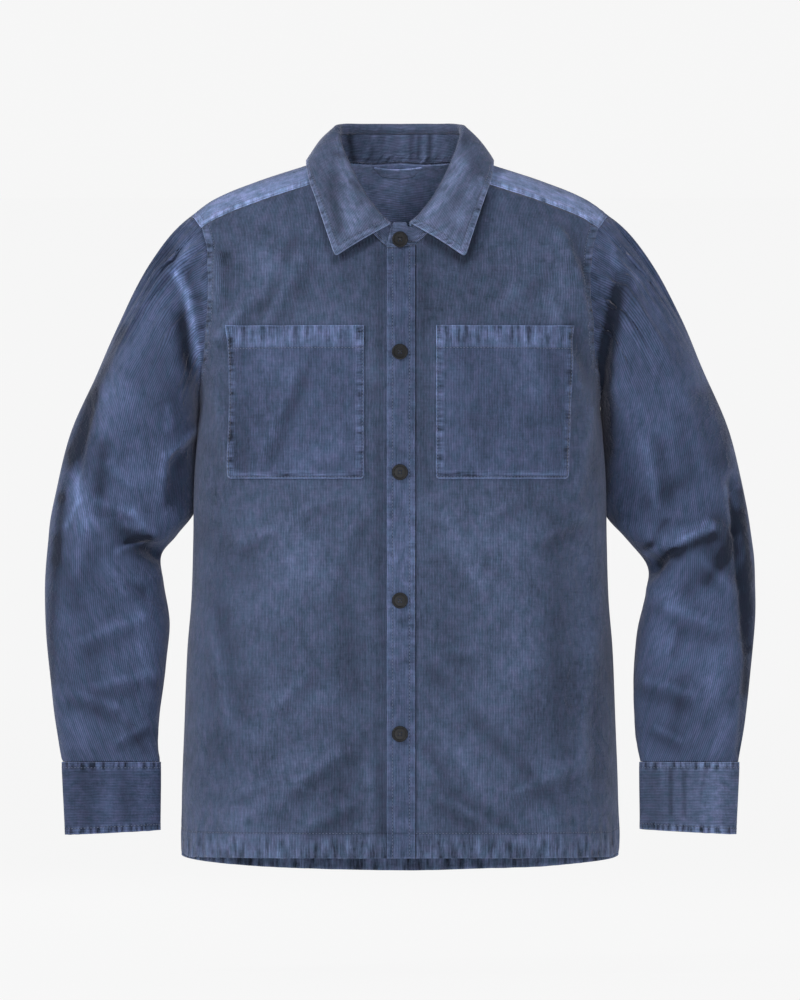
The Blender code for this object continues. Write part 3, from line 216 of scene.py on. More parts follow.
# inner x, outer x, inner z, outer z, middle y, half depth, at each cuff's seam and at its free edge
RIGHT_CUFF = (
    (0.2542, 0.3584, -0.6350, -0.6350, -0.044, 0.0181), (0.2542, 0.3548, -0.7070, -0.7120, -0.055, 0.0200),
)
LEFT_CUFF = (
    (0.2544, 0.3596, -0.6350, -0.6350, -0.044, 0.0181), (0.2546, 0.3562, -0.7060, -0.7115, -0.055, 0.0200),
)


class Crease(NamedTuple):
    """A soft ridge along a line seen from the front, or a trough where the lift is below nothing."""

    x0: float
    z0: float
    x1: float
    z1: float
    width: float
    lift: float
    tuck: float = 0.0


class ShadeAndFadeStroke(NamedTuple):
    """A stroke of paler or darker colour along a line seen from the front; the strokes are painted
    highlights, painted shadows and uneven fading.
    """

    x0: float
    z0: float
    x1: float
    z1: float
    width: float
    tone: float


def creases(*rows: tuple[float, ...]) -> tuple[Crease, ...]:
    """Creases from places, widths and lifts in tenths of a millimetre, and the tuck's share of the lift."""
    return tuple(Crease(*(size / TENTHS for size in row[:6]), *row[6:]) for row in rows)


def shade_and_fade_strokes(*rows: tuple[float, ...]) -> tuple[ShadeAndFadeStroke, ...]:
    """Strokes whose places and width are in tenths of a millimetre, with the tone as it is."""
    return tuple(ShadeAndFadeStroke(*(size / TENTHS for size in row[:5]), row[5]) for row in rows)


def reach_of(stroke: Crease | ShadeAndFadeStroke, x: Array, z: Array) -> tuple[Array, Array, Array]:
    """How places lie beside a stroke.

    Args:
        stroke: The crease, or the stroke of painted light, shade and fading.
        x: Places across.
        z: Heights.

    Returns:
        The distance from the stroke, the signed distance to its lower right side, and 1 between its ends.
    """
    run_x, run_z = stroke.x1 - stroke.x0, stroke.z1 - stroke.z0
    length = math.hypot(run_x, run_z)
    share = np.clip(((x - stroke.x0) * run_x + (z - stroke.z0) * run_z) / length ** 2, 0, 1)
    off_x, off_z = x - stroke.x0 - run_x * share, z - stroke.z0 - run_z * share
    away = np.hypot(off_x, off_z)
    side = (off_x * run_z - off_z * run_x) / length * (1 if run_x + run_z > 0 else -1)
    ends = np.exp(-((away ** 2 - np.minimum(side ** 2, away ** 2)) / stroke.width ** 2))
    return away, side, ends


def lift_of(creases: Sequence[Crease], x: Array, z: Array) -> Array:
    """How far creases raise the cloth; a tuck puts a trough along the lower right side of its ridge."""
    total = np.zeros(np.broadcast(x, z).shape)
    for crease in creases:
        away, side, ends = reach_of(crease, x, z)
        total += crease.lift * np.exp(-(away / crease.width) ** 2)
        if crease.tuck:
            beside = (side - TUCK_OUT * crease.width) / crease.width
            total -= crease.lift * crease.tuck * np.exp(-beside ** 2) * ends
    return total


def tone_of(creases: Sequence[Crease], shade_and_fade_strokes: Sequence[ShadeAndFadeStroke], x: Array, z: Array) -> Array:
    """How much paler or darker the colour is: a painted highlight on crests, painted shade in troughs and
    beside tucks, and the strokes' painted light, shade and fading.

    Args:
        creases: The folds and creases of this side.
        shade_and_fade_strokes: Its strokes of painted highlight, painted shade and uneven fading.
        x: Places across.
        z: Heights.

    Returns:
        The change of tone at each place.
    """
    total = np.zeros(np.broadcast(x, z).shape)
    for crease in creases:
        away, side, ends = reach_of(crease, x, z)
        sharp = 1.0 if crease.width < BROAD_FOLD else BROAD_SHARE
        # Crests get a painted highlight, troughs painted shade.
        if crease.lift > 0:
            crest = sharp * CREST_HIGHLIGHT * min(crease.lift / CREST_LIFT, MOST_TONE)
            total += crest * np.exp(-(away / (0.6 * crease.width)) ** 2)
        else:
            trough = sharp * TROUGH_SHADE * min(-crease.lift / TROUGH_LIFT, MOST_TONE)
            total -= trough * np.exp(-(away / (0.8 * crease.width)) ** 2)
        # Painted shade along a tuck's lower right side, away from the light.
        if crease.tuck:
            beside = (side - TUCK_SHADE_OUT * crease.width) / (TUCK_SHADE_WIDTH * crease.width)
            total -= TUCK_PAINTED_SHADE * crease.tuck * np.exp(-beside ** 2) * ends
    # Strokes of painted highlight, painted shadow and uneven fading.
    for shade_and_fade_stroke in shade_and_fade_strokes:
        total += shade_and_fade_stroke.tone * np.exp(-(reach_of(shade_and_fade_stroke, x, z)[0] / shade_and_fade_stroke.width) ** 2)
    return total


# On the front: painted shadow under the collar's leaves and beside the placket, painted light and shade of
# the folds, and uneven fading.
FRONT_SHADE_AND_FADE = shade_and_fade_strokes(
    (-690, -1030, -180, -730, 55, -0.38), (680, -1040, 220, -750, 55, -0.38),
    (740, -960, 900, -350, 45, -0.34), (-760, -930, -860, -500, 35, -0.2),
    (-1460, -960, -1340, -1120, 180, 0.17), (-1120, -820, -1400, -1500, 70, -0.16),
    (-2000, -3950, -1720, -4300, 200, -0.13), (-1930, -4500, -1900, -6300, 150, -0.15),
    (-1120, -3950, -950, -4300, 260, 0.12), (-208, -900, -208, -7400, 65, -0.15),
    (240, -900, 250, -3400, 85, -0.12), (477, -3730, 900, -4420, 90, 0.26),
    (800, -3850, 1000, -4200, 240, 0.1), (320, -5370, 1590, -6750, 95, -0.17),
    (450, -6000, 950, -6650, 100, 0.13), (540, -5600, 640, -5800, 130, 0.15),
    (400, -6550, 1050, -7000, 80, -0.12), (1640, -3700, 1660, -6200, 130, -0.09),
    (1970, -3800, 1970, -6600, 110, 0.1), (-1500, -6100, -800, -5600, 120, 0.08),
    (-1600, -5600, -1200, -5000, 140, -0.08), (-600, -4700, -450, -5600, 120, -0.09),
    (-1780, -7000, -1300, -6700, 120, 0.09), (1100, -900, 1250, -1500, 120, 0.09),
    (1600, -900, 1720, -1600, 100, 0.13), (1850, -1100, 1820, -2400, 90, -0.1),
    (600, -1000, 800, -1600, 120, -0.07), (-850, -1900, -1180, -2700, 75, -0.12),
    (-1400, -2100, -1200, -2200, 160, 0.1), (-1000, -3100, -700, -3000, 140, 0.1),
    (1370, -1900, 1410, -2400, 90, 0.13), (700, -2000, 900, -3000, 120, -0.08),
    (1600, -2150, 1660, -3100, 90, -0.1), (-1650, -2000, -1600, -3200, 100, -0.07),
    (1300, -4650, 1200, -5400, 220, 0.06), (-400, -6200, -750, -7000, 100, -0.1),
    (-1300, -6400, -700, -6100, 100, 0.1), (1000, -6200, 1700, -5900, 180, -0.05),
)
# On the back: painted light and shade along its creases, and uneven fading.
BACK_SHADE_AND_FADE = shade_and_fade_strokes(
    (-1200, -2000, -800, -3000, 250, 0.1), (1100, -2400, 1300, -3300, 220, 0.09),
    (50, -1800, -100, -3500, 140, -0.12), (-1750, -3300, -1700, -5200, 150, -0.12),
    (1780, -3500, 1760, -5600, 150, -0.12), (-600, -4600, -200, -5600, 260, 0.12),
    (700, -5000, 500, -6200, 220, 0.12), (-1100, -6200, -1500, -7000, 120, -0.12),
    (1200, -6000, 1600, -6900, 120, -0.12), (0, -6000, 120, -7200, 120, -0.12),
    (-900, -3850, 800, -4080, 90, -0.12), (100, -4100, 1000, -3800, 100, 0.1),
)
# On the right sleeve: painted highlight along crease ridges, painted shade in folds and troughs, and uneven
# fading.
RIGHT_SLEEVE_SHADE_AND_FADE = shade_and_fade_strokes(
    (-2112, -757, -2258, -855, 36, 0.34), (-2258, -855, -2392, -1147, 36, 0.34),
    (-2392, -1147, -2258, -1366, 40, 0.34), (-2258, -1366, -2210, -1658, 36, 0.3),
    (-2210, -1658, -2112, -2120, 36, 0.3), (-2186, -2826, -2453, -3045, 32, 0.28),
    (-2453, -3045, -2526, -3191, 36, 0.22), (-3451, -3313, -3414, -3581, 34, 0.34),
    (-3414, -3581, -3548, -3848, 38, 0.3), (-3233, -3581, -2843, -3703, 40, 0.22),
    (-2843, -3703, -2745, -3848, 36, 0.3), (-3013, -4116, -2866, -4043, 34, 0.26),
    (-2866, -4060, -2697, -4060, 30, 0.34), (-2891, -4010, -2672, -3980, 28, -0.5),
    (-2939, -1755, -3256, -2461, 60, -0.2), (-3256, -2461, -3499, -3070, 55, -0.24),
    (-3499, -3070, -3597, -3556, 50, -0.26), (-3597, -3556, -3646, -4208, 50, -0.26),
    (-3208, -2826, -3013, -2339, 120, 0.1), (-3086, -3191, -2891, -3386, 60, 0.16),
    (-2453, -2582, -2453, -2801, 46, 0.24), (-2310, -1500, -2230, -2150, 45, -0.16),
    (-2130, -800, -2360, -1180, 55, 0.34), (-2360, -1180, -2230, -1500, 55, 0.32),
    (-2230, -1500, -2100, -2300, 50, 0.26), (-2440, -870, -3286, -2512, 85, -0.12),
    (-3286, -2512, -3540, -3200, 80, -0.12), (-3480, -3300, -3330, -3850, 110, 0.34),
    (-3230, -3920, -3180, -3950, 120, 0.16), (-3020, -3860, -2650, -4000, 60, -0.22),
    (-3140, -2980, -3190, -3450, 80, -0.18), (-2850, -2500, -2740, -3400, 130, 0.14),
    (-2280, -2980, -2540, -3300, 50, 0.24), (-2330, -3120, -2340, -3600, 80, -0.1),
    (-2700, -1500, -2850, -2100, 140, 0.08), (-2330, -1650, -2250, -2300, 80, -0.22),
    (-3000, -2000, -3100, -2500, 110, 0.1), (-2500, -2100, -2400, -2800, 100, -0.12),
    (-3650, -4000, -3720, -5500, 70, -0.22), (-3560, -4300, -3400, -4700, 110, -0.14),
    (-3100, -4300, -2900, -4550, 80, 0.13), (-2750, -4700, -2700, -5600, 90, 0.12),
    (-3300, -5000, -3200, -5800, 120, -0.09), (-3450, -5900, -3300, -6200, 120, 0.1),
    (-2850, -6000, -2700, -6250, 80, -0.14), (-3050, -3500, -2850, -3680, 80, 0.18),
)
# On the left sleeve: painted highlight along crease ridges, painted shade in folds and troughs, and uneven
# fading.
LEFT_SLEEVE_SHADE_AND_FADE = shade_and_fade_strokes(
    (2200, -800, 2271, -1037, 45, 0.24), (2298, -956, 2420, -1280, 30, -0.24),
    (2150, -1902, 2110, -2335, 90, -0.2), (2110, -2335, 2190, -3038, 90, -0.2),
    (2825, -4092, 3040, -3984, 26, 0.28), (3040, -3984, 3311, -3898, 24, 0.3),
    (2878, -4135, 3311, -3965, 50, -0.24), (2907, -4110, 2690, -4270, 28, -0.4),
    (2610, -4147, 2851, -3984, 40, 0.26), (2663, -4050, 2825, -3800, 34, -0.22),
    (3529, -3578, 3600, -3795, 50, -0.26), (3600, -3795, 3451, -4173, 60, -0.15),
    (3451, -4173, 3258, -4443, 60, -0.2), (3490, -3444, 3545, -3780, 32, 0.24),
    (3636, -3470, 3731, -4388, 34, -0.22), (2270, -1150, 2200, -1500, 70, 0.14),
    (2290, -1350, 2200, -2200, 75, -0.28), (2200, -2200, 2180, -3450, 80, -0.3),
    (2200, -720, 2500, -1220, 70, 0.26), (2500, -1220, 2800, -1750, 90, 0.14),
    (3390, -3780, 3520, -4100, 120, -0.2), (3400, -4200, 3050, -4500, 110, -0.16),
    (2620, -4080, 2850, -3960, 50, -0.32), (2700, -4000, 3250, -3830, 50, 0.24),
    (2700, -2000, 2850, -2800, 150, 0.09), (3000, -2700, 3100, -3300, 120, -0.12),
    (3350, -2400, 3550, -3200, 90, -0.18), (3550, -3000, 3620, -3600, 60, 0.18),
    (2550, -2600, 2600, -3300, 110, 0.1), (3700, -4300, 3680, -5600, 70, -0.2),
    (2900, -4500, 2750, -5100, 110, 0.1), (3400, -5200, 3300, -5600, 140, 0.14),
    (3000, -5500, 2900, -6050, 110, -0.12), (3480, -5900, 3350, -6200, 90, 0.12),
    (2950, -3400, 2650, -3600, 90, -0.16), (3150, -1800, 3250, -2300, 90, 0.1),
)
# On the back of the sleeves: painted light and shade of their folds, and uneven fading.
SLEEVE_BACK_SHADE_AND_FADE = shade_and_fade_strokes(
    (2600, -1300, 2900, -2200, 140, 0.12), (2350, -1400, 2300, -2500, 90, -0.26),
    (3300, -2600, 3500, -3500, 100, -0.18), (2700, -3980, 3300, -3860, 60, 0.2),
    (2700, -4120, 3300, -4020, 70, -0.26), (2850, -4700, 2750, -5600, 110, 0.12),
    (3500, -4600, 3550, -5600, 90, -0.16), (3100, -3000, 2900, -3500, 130, 0.1),
)
# On the cuffs: painted shade in their folds, painted light, and uneven fading.
CUFF_SHADE_AND_FADE = shade_and_fade_strokes(
    (3330, -6400, 3250, -7000, 180, 0.26), (2700, -6400, 2700, -7000, 140, -0.16),
    (2870, -6420, 2870, -6900, 22, -0.26), (3010, -6420, 3010, -6900, 22, -0.24),
    (3240, -6420, 3180, -6750, 20, -0.2), (2780, -6420, 2790, -6600, 22, 0.16),
    (-3120, -6400, -3080, -7000, 60, 0.1), (-3370, -6400, -3320, -7000, 80, -0.12),
    (-2740, -6450, -2750, -7000, 80, 0.12), (-2930, -6500, -2910, -6900, 50, -0.12),
)
# On the stand: the left leaf's painted shadow, and other painted light and shade.
STAND_SHADE_AND_FADE = shade_and_fade_strokes(
    (-570, 380, -500, 0, 40, -0.4), (130, 380, 120, 80, 22, -0.26), (215, 380, 195, 80, 22, -0.28),
    (330, 360, 310, 20, 24, -0.3), (-180, 300, -185, 20, 20, -0.18), (-250, 360, -390, 100, 26, 0.18),
    (-100, 360, -180, 140, 24, 0.14), (30, 340, 20, 120, 26, 0.12), (270, 340, 255, 60, 22, 0.16),
    (390, 340, 370, 40, 24, 0.14), (-330, 360, -300, 60, 22, -0.16),
)
COLLAR_CREASES = creases(
    (430, -50, 600, -10, 32, 10, 0.8), (345, -250, 470, -215, 30, 9, 0.8), (-670, 165, -540, 125, 32, 9, 0.7),
    (-480, -140, -370, -230, 34, 9, 0.7), (700, 50, 500, -400, 80, 8, 0.3),
    (-760, -150, -560, -600, 80, 8, 0.3), (-450, 600, 300, 640, 60, 8, 0.4), (520, 420, 620, 200, 50, 8, 0.4),
)
# On the collar's leaf: painted shade along the roll, painted light down the middle of each leaf, and other
# painted light and shade.
COLLAR_SHADE_AND_FADE = shade_and_fade_strokes(
    (-590, 380, -519, 117, 34, -0.2), (-519, 117, -371, -249, 36, -0.22), (-371, -249, -150, -490, 30, -0.14),
    (850, -150, 920, -400, 30, 0.14), (-620, 180, -500, -560, 90, 0.22), (-490, 20, -300, -330, 50, -0.24),
    (630, -30, 260, -560, 90, 0.24), (520, 150, 400, -80, 45, -0.26), (390, -120, 330, -220, 35, -0.22),
    (-740, -200, -640, -700, 70, -0.12), (760, -230, 620, -600, 70, 0.16), (-570, 300, -540, 130, 50, -0.16),
    (-350, -480, -540, -720, 60, 0.14), (450, -700, 620, -860, 60, 0.12),
)
BODY_FRONT_FOLDS = creases(
    (-1900, -1100, -1860, -1850, 200, 49), (-1500, -1200, -1050, -980, 180, 35),
    (1680, -740, 1860, -1600, 200, 49), (-1200, -3900, -1360, -5600, 340, 63),
    (-580, -4300, -520, -6900, 280, -49), (-1700, -6900, -600, -6250, 220, 63),
    (-1500, -7700, -1460, -6800, 260, 56), (1280, -4000, 1180, -6400, 360, 63),
    (620, -4800, 660, -7600, 260, -49), (1650, -6000, 1550, -7700, 260, 56),
    (1900, -4200, 1960, -6000, 220, -42),
)
BODY_FRONT_CREASES = creases(
    (-1930, -1880, -1570, -1450, 65, 20, 0.5), (-1400, -1660, -1060, -1030, 80, 20, 0.5),
    (-1930, -996, -1910, -1505, 60, 22, 0.6), (-1420, -3040, -1120, -2240, 75, 15, 0.5),
    (-1130, -6590, -647, -6210, 85, 24, 0.6), (-1040, -7050, -530, -6770, 75, 22, 0.6),
    (-1675, -6657, -1378, -6540, 60, 18, 0.5), (-1325, -5745, -996, -5406, 80, 18, 0.5),
    (-1685, -4017, -1336, -3870, 75, 17, 0.5), (1685, -742, 1855, -1177, 70, 22, 0.6),
    (1855, -1177, 1940, -1600, 70, 18, 0.6), (456, -6720, 848, -6920, 70, 20, 0.6),
    (212, -6243, 392, -6520, 60, 16, 0.5), (551, -5140, 742, -5173, 55, 14, 0.5),
    (1100, -1500, 1500, -1100, 80, 14, 0.4), (1900, -2350, 1600, -1500, 70, 14, 0.5),
    (-1950, -2450, -1780, -3300, 80, 18, 0.4), (2030, -2620, 1880, -3450, 80, 18, 0.4),
    (1500, -3950, 1920, -3720, 80, 16, 0.5), (1200, -6650, 1720, -6400, 90, 18, 0.5),
    (-800, -4550, -500, -3800, 90, 12, 0.4), (450, -3950, 850, -4500, 90, 12, 0.4),
    (-2000, -4800, -1820, -5900, 100, 18, 0.4), (2050, -5000, 1900, -6400, 100, 18, 0.4),
    (1000, -7050, 1400, -7220, 70, 16, 0.5), (-350, -6400, -280, -7050, 80, 14, 0.4),
    (900, -3750, 1300, -3520, 70, 12, 0.4), (-1000, -3650, -600, -3500, 70, 12, 0.4),
)
BODY_BACK_FOLDS = creases(
    (-620, -1900, -800, -7000, 300, 84), (720, -2100, 900, -7600, 300, 84), (20, -3300, 100, -7700, 300, -70),
    (-1500, -2600, -1580, -7600, 260, -63), (1580, -2500, 1500, -7400, 260, -63),
    (-1100, -3950, 950, -4200, 220, 56), (-1850, -1200, -1650, -2100, 220, 63),
    (1850, -1200, 1680, -2050, 220, 63),
)
BODY_BACK_CREASES = creases(
    (-1900, -2150, -1280, -3000, 90, 24, 0.5), (1920, -2220, 1350, -3120, 90, 24, 0.5),
    (-1200, -3800, -200, -4020, 100, 26, 0.6), (200, -4120, 1100, -3880, 100, 24, 0.6),
    (-900, -4450, 300, -4520, 90, 18, 0.5), (-1950, -4000, -1500, -4400, 80, 20, 0.5),
    (1950, -3950, 1500, -4320, 80, 20, 0.5), (-1200, -6650, -700, -6250, 85, 22, 0.5),
    (600, -7000, 1150, -6720, 80, 20, 0.5), (-250, -1500, -400, -3000, 110, 16, 0.4),
    (300, -1400, 450, -2600, 110, 14, 0.4), (1500, -5600, 1850, -5200, 80, 18, 0.5),
    (-1750, -6000, -1400, -5600, 80, 18, 0.5), (-300, -5600, 100, -6900, 120, 18, 0.3),
    (-2000, -1300, -1850, -2000, 65, 22, 0.5), (2000, -1300, 1860, -2000, 65, 22, 0.5),
)
RIGHT_SLEEVE_FRONT = creases(
    (-2550, -4140, -2900, -4020, 130, -70), (-2400, -3720, -3050, -3920, 140, 45),
    (-2580, -4360, -3000, -4520, 140, 40), (-2400, -1000, -2240, -2000, 140, -50),
    (-2520, -1200, -2360, -2200, 150, 45), (-2500, -3000, -2580, -3500, 160, 35),
    (-3330, -2620, -3450, -3300, 140, -35), (-2130, -763, -2396, -1145, 70, 26, 0.6),
    (-2396, -1145, -2237, -1452, 65, 24, 0.6), (-2237, -1452, -2088, -2280, 70, 26, 0.6),
    (-2184, -2830, -2523, -3085, 75, 22, 0.5), (-2523, -3085, -2565, -3570, 75, 22, 0.5),
    (-3330, -2620, -3456, -3310, 50, -18, 0.4), (-2555, -4155, -2862, -4028, 55, -30, 0.5),
    (-2883, -4460, -2714, -4526, 55, -22, 0.4), (-2620, -3920, -3250, -3780, 75, 20, 0.5),
    (-3300, -3500, -3450, -4320, 100, 18, 0.4), (-2750, -4800, -3350, -5050, 90, 20, 0.5),
    (-2620, -5400, -3200, -5520, 85, 18, 0.5), (-3000, -5750, -3450, -5600, 80, 16, 0.5),
    (-2700, -5950, -3000, -6120, 65, 18, 0.5), (-2900, -2150, -3000, -3000, 120, 16, 0.4),
)
RIGHT_SLEEVE_BACK = creases(
    (-2550, -4200, -3300, -4100, 140, -60), (-2500, -3850, -3400, -3750, 150, 45),
    (-3300, -4500, -3500, -5600, 180, 40), (-2450, -1100, -2350, -2150, 160, -50),
    (-2620, -4000, -3350, -3880, 65, 26, 0.6), (-2620, -4400, -3300, -4520, 70, 22, 0.6),
    (-3000, -4800, -3450, -5000, 75, 20, 0.5), (-2320, -1300, -2500, -2250, 80, 26, 0.6),
    (-2700, -2900, -2850, -3500, 90, 20, 0.5), (-2750, -5550, -3350, -5750, 75, 18, 0.5),
)
LEFT_SLEEVE_FRONT = creases(
    (2680, -4280, 2920, -4100, 130, -75), (2900, -4120, 3300, -3900, 140, 50),
    (2400, -3850, 2850, -3920, 140, 40), (2620, -4500, 3000, -4700, 140, 40),
    (2200, -900, 2430, -1260, 140, 40), (2300, -1170, 2140, -2300, 130, -50),
    (2440, -1300, 2300, -2350, 150, 45), (3560, -3400, 3660, -5000, 130, -35),
    (2110, -700, 2427, -1260, 70, 28, 0.6), (2300, -1166, 2088, -2396, 60, -26, 0.6),
    (2703, -4280, 2904, -4100, 55, -34, 0.5), (2904, -4040, 3297, -3860, 70, 24, 0.6),
    (2904, -4950, 2830, -5180, 55, 18, 0.5), (3550, -3360, 3570, -3870, 50, -20, 0.5),
    (3570, -3870, 3700, -5160, 50, -20, 0.5), (3700, -5160, 3600, -6320, 50, -18, 0.5),
    (2620, -3000, 2720, -3620, 85, 22, 0.5), (3000, -2500, 3180, -3200, 110, 16, 0.4),
    (2850, -4700, 3400, -4920, 85, 20, 0.5), (2620, -5480, 3100, -5620, 80, 18, 0.5),
    (2720, -5980, 2980, -6120, 65, 18, 0.5), (3200, -4200, 3500, -4500, 90, 18, 0.5),
)
LEFT_SLEEVE_BACK = creases(
    (2620, -4300, 3300, -4180, 140, -60), (2500, -3850, 3400, -3780, 150, 45),
    (3350, -4550, 3500, -5600, 180, 40), (2450, -1100, 2350, -2150, 160, -50),
    (2680, -4060, 3350, -3940, 65, 26, 0.6), (2680, -4460, 3320, -4600, 70, 22, 0.6),
    (3000, -4900, 3450, -5100, 75, 20, 0.5), (2320, -1300, 2500, -2250, 80, 26, 0.6),
    (2680, -2850, 2880, -3450, 90, 20, 0.5), (2720, -5600, 3320, -5780, 75, 18, 0.5),
)


def wander(place: Array, seed: float) -> Array:
    """An uneven ripple between about -1 and 1, by distance along a seam, with no two waves alike."""
    slow = np.sin(place * 61.0 + seed * 2.1) + 0.6 * np.sin(place * 103.0 + seed * 5.3)
    quick = np.sin(place * 330.0 + 2.2 * slow + seed) + 0.55 * np.sin(place * 561.0 + 1.4 * slow + seed * 3.7)
    return quick * (0.55 + 0.25 * slow) * 0.6


def unrest(x: Array, z: Array, seed: float) -> Array:
    """Slow unevenness of cloth that hangs free, between about -1 and 1."""
    a = np.sin(x * 31.0 + 1.7 * np.sin(z * 13.0 + seed) + seed)
    b = np.sin(z * 27.0 + 1.9 * np.sin(x * 17.0 + seed * 2.0) + seed * 1.3)
    c = np.sin((x + z) * 52.0 + 1.2 * np.sin((x - z) * 23.0) + seed * 0.7)
    return 0.45 * a * b + 0.35 * c * b + 0.2 * a


def reach_along(line: Array) -> Array:
    """Each point's distance along a line from its start."""
    return np.concatenate([[0.0], np.cumsum(np.linalg.norm(np.diff(line, axis=0), axis=1))])


def place_on(line: Array, reach: Array, at: Array) -> Array:
    """Points of a line at distances along it."""
    return np.stack([np.interp(at, reach, line[:, k]) for k in range(3)], axis=-1)


def kept_mesh(mesh: bmesh.types.BMesh, name: str) -> bpy.types.Mesh:
    """A working mesh as named data with smooth shading; the working mesh is freed."""
    data = bpy.data.meshes.new(name)
    mesh.to_mesh(data)
    mesh.free()
    data.shade_smooth()
    return data


def turned(line: Sequence[tuple[float, float]], steps: int, merge: float) -> bmesh.types.BMesh:
    """A working mesh turned about the upright axis from a line of radii and heights.

    Args:
        line: The radius and height of each point.
        steps: How many faces go round.
        merge: Points nearer than this become one.

    Returns:
        The working mesh.
    """
    mesh = bmesh.new()
    verts = [mesh.verts.new((x, 0.0, z)) for x, z in line]
    edges = [mesh.edges.new(pair) for pair in zip(verts, verts[1:])]
    bmesh.ops.spin(mesh, geom=verts + edges, cent=(0, 0, 0), axis=(0, 0, 1), angle=2 * math.pi, steps=steps,
                   use_merge=True)
    bmesh.ops.remove_doubles(mesh, verts=mesh.verts, dist=merge)
    bmesh.ops.recalc_face_normals(mesh, faces=mesh.faces)
    return mesh


class Pucker(NamedTuple):
    """A seam's ripple: its height, its strongest place beside the seam and how far it spreads."""

    height: float
    middle: float
    spread: float

    def ripple(self, along: Array, seed: float, away: Array) -> Array:
        """The lift at places along a seam and at distances from it."""
        return self.height * wander(along, seed) * np.exp(-((away - self.middle) / self.spread) ** 2)


HEM_PUCKER = Pucker(0.00190, 0.020, 0.022)
ARMHOLE_PUCKER = Pucker(0.00170, 0.008, 0.014)
YOKE_PUCKER = Pucker(0.00090, 0.006, 0.014)
PATCH_SIDE_PUCKER = Pucker(0.00110, 0.006, 0.006)
PATCH_END_PUCKER = Pucker(0.00110, 0.010, 0.012)
SLEEVE_PUCKER = Pucker(0.00055, 0.010, 0.012)
CUFF_PUCKER = Pucker(0.00035, 0.005, 0.006)
COLLAR_PUCKER = Pucker(0.00045, 0.006, 0.007)


class BodyForm:
    """The trunk's form, from the tables of its sections and its shoulder line."""

    @staticmethod
    def depth(across: Array, height: Array, side: Array) -> Array:
        """How far the form stands out from the middle plane.

        Args:
            across: Distances from the middle.
            height: Heights.
            side: -1 for the front and 1 for the back.

        Returns:
            The signed depth.
        """
        reach = np.where(np.asarray(side) < 0, BODY.read(height, 2), BODY.read(height, 3))
        share = np.minimum(np.abs(across) / BODY.read(height, 1), 1.0)
        spread = (1 - share ** SQUARENESS) ** (1 / SQUARENESS)
        drop = np.clip((SHOULDER.read(np.abs(across)) - height) / SHOULDER_DROP, 0, 1)
        return side * reach * spread * np.sqrt(1 - (1 - drop) ** 2)

    @staticmethod
    def angle_of(across: Array, height: Array) -> Array:
        """The angle round the body of a distance from the middle."""
        share = np.minimum(np.abs(across) / BODY.read(height, 1), 1.0)
        return np.sign(across) * np.arcsin(share ** (SQUARENESS / 2))

    @staticmethod
    def across_of(angle: Array, height: Array) -> Array:
        """The distance from the middle of an angle round the body."""
        return np.sign(angle) * BODY.read(height, 1) * np.abs(np.sin(angle)) ** (2 / SQUARENESS)

    @staticmethod
    def drop_of_turn(turn: Array) -> Array:
        """How far below the shoulder line a turn lies, as a share of the rounding."""
        turn = np.abs(turn)
        return np.where(turn <= 1, 1 - np.cos(np.minimum(turn, 1) * math.pi / 2),
                        1 + (turn - 1) * math.pi / 2)

    @staticmethod
    def turn_of_drop(drop: Array) -> Array:
        """The turn at a drop below the shoulder line."""
        inside = np.arccos(1 - np.clip(drop, 0, 1)) / (math.pi / 2)
        return np.where(drop <= 1, inside, 1 + (drop - 1) / (math.pi / 2))

    @classmethod
    def turn_at(cls, across: Array, height: Array) -> Array:
        """The turn over the shoulder line at a distance from the middle and a height."""
        return cls.turn_of_drop((SHOULDER.read(np.abs(across)) - height) / SHOULDER_DROP)

    @classmethod
    def point(cls, across: Array, height: Array, side: Array) -> Array:
        """Points of the form by distance from the middle and height."""
        return np.stack(np.broadcast_arrays(across, cls.depth(across, height, side), height), axis=-1)

    @classmethod
    def over(cls, across: Array, turn: Array) -> Array:
        """Points of the form by distance from the middle and turn over the shoulder line."""
        height = SHOULDER.read(np.abs(across)) - SHOULDER_DROP * cls.drop_of_turn(turn)
        return cls.point(across, height, np.where(np.asarray(turn) < 0, -1.0, 1.0))


def grid_normals(points: Array, outward: Array | tuple[float, ...], closed: bool = False) -> Array:
    """Directions square to a grid of points.

    Args:
        points: Grid of points, columns by rows by 3.
        outward: A rough outward direction, for all points or for each.
        closed: Whether the last column is the first one again.

    Returns:
        Unit directions that point the way outward does.
    """
    along = np.gradient(points, axis=0)
    if closed:
        wrap = 0.5 * (points[1] - points[-2])
        along[0], along[-1] = wrap, wrap
    normals = unit(np.cross(along, np.gradient(points, axis=1)))
    flip = np.sign(np.sum(normals * outward))
    return normals * (flip if flip else 1.0)


def lengths_from(points: Array, edge: Edge) -> Array:
    """Distance of each point of a grid from one of its edges, along the grid's lines."""
    axis = 0 if edge in (Edge.FIRST_COLUMN, Edge.LAST_COLUMN) else 1
    steps = np.linalg.norm(np.diff(points, axis=axis), axis=-1)
    lengths = np.cumsum(steps, axis=axis)
    lengths = np.insert(lengths, 0, 0.0, axis=axis)
    if edge in (Edge.LAST_COLUMN, Edge.LAST_ROW):
        lengths = np.take(lengths, [-1], axis=axis) - lengths
    return lengths


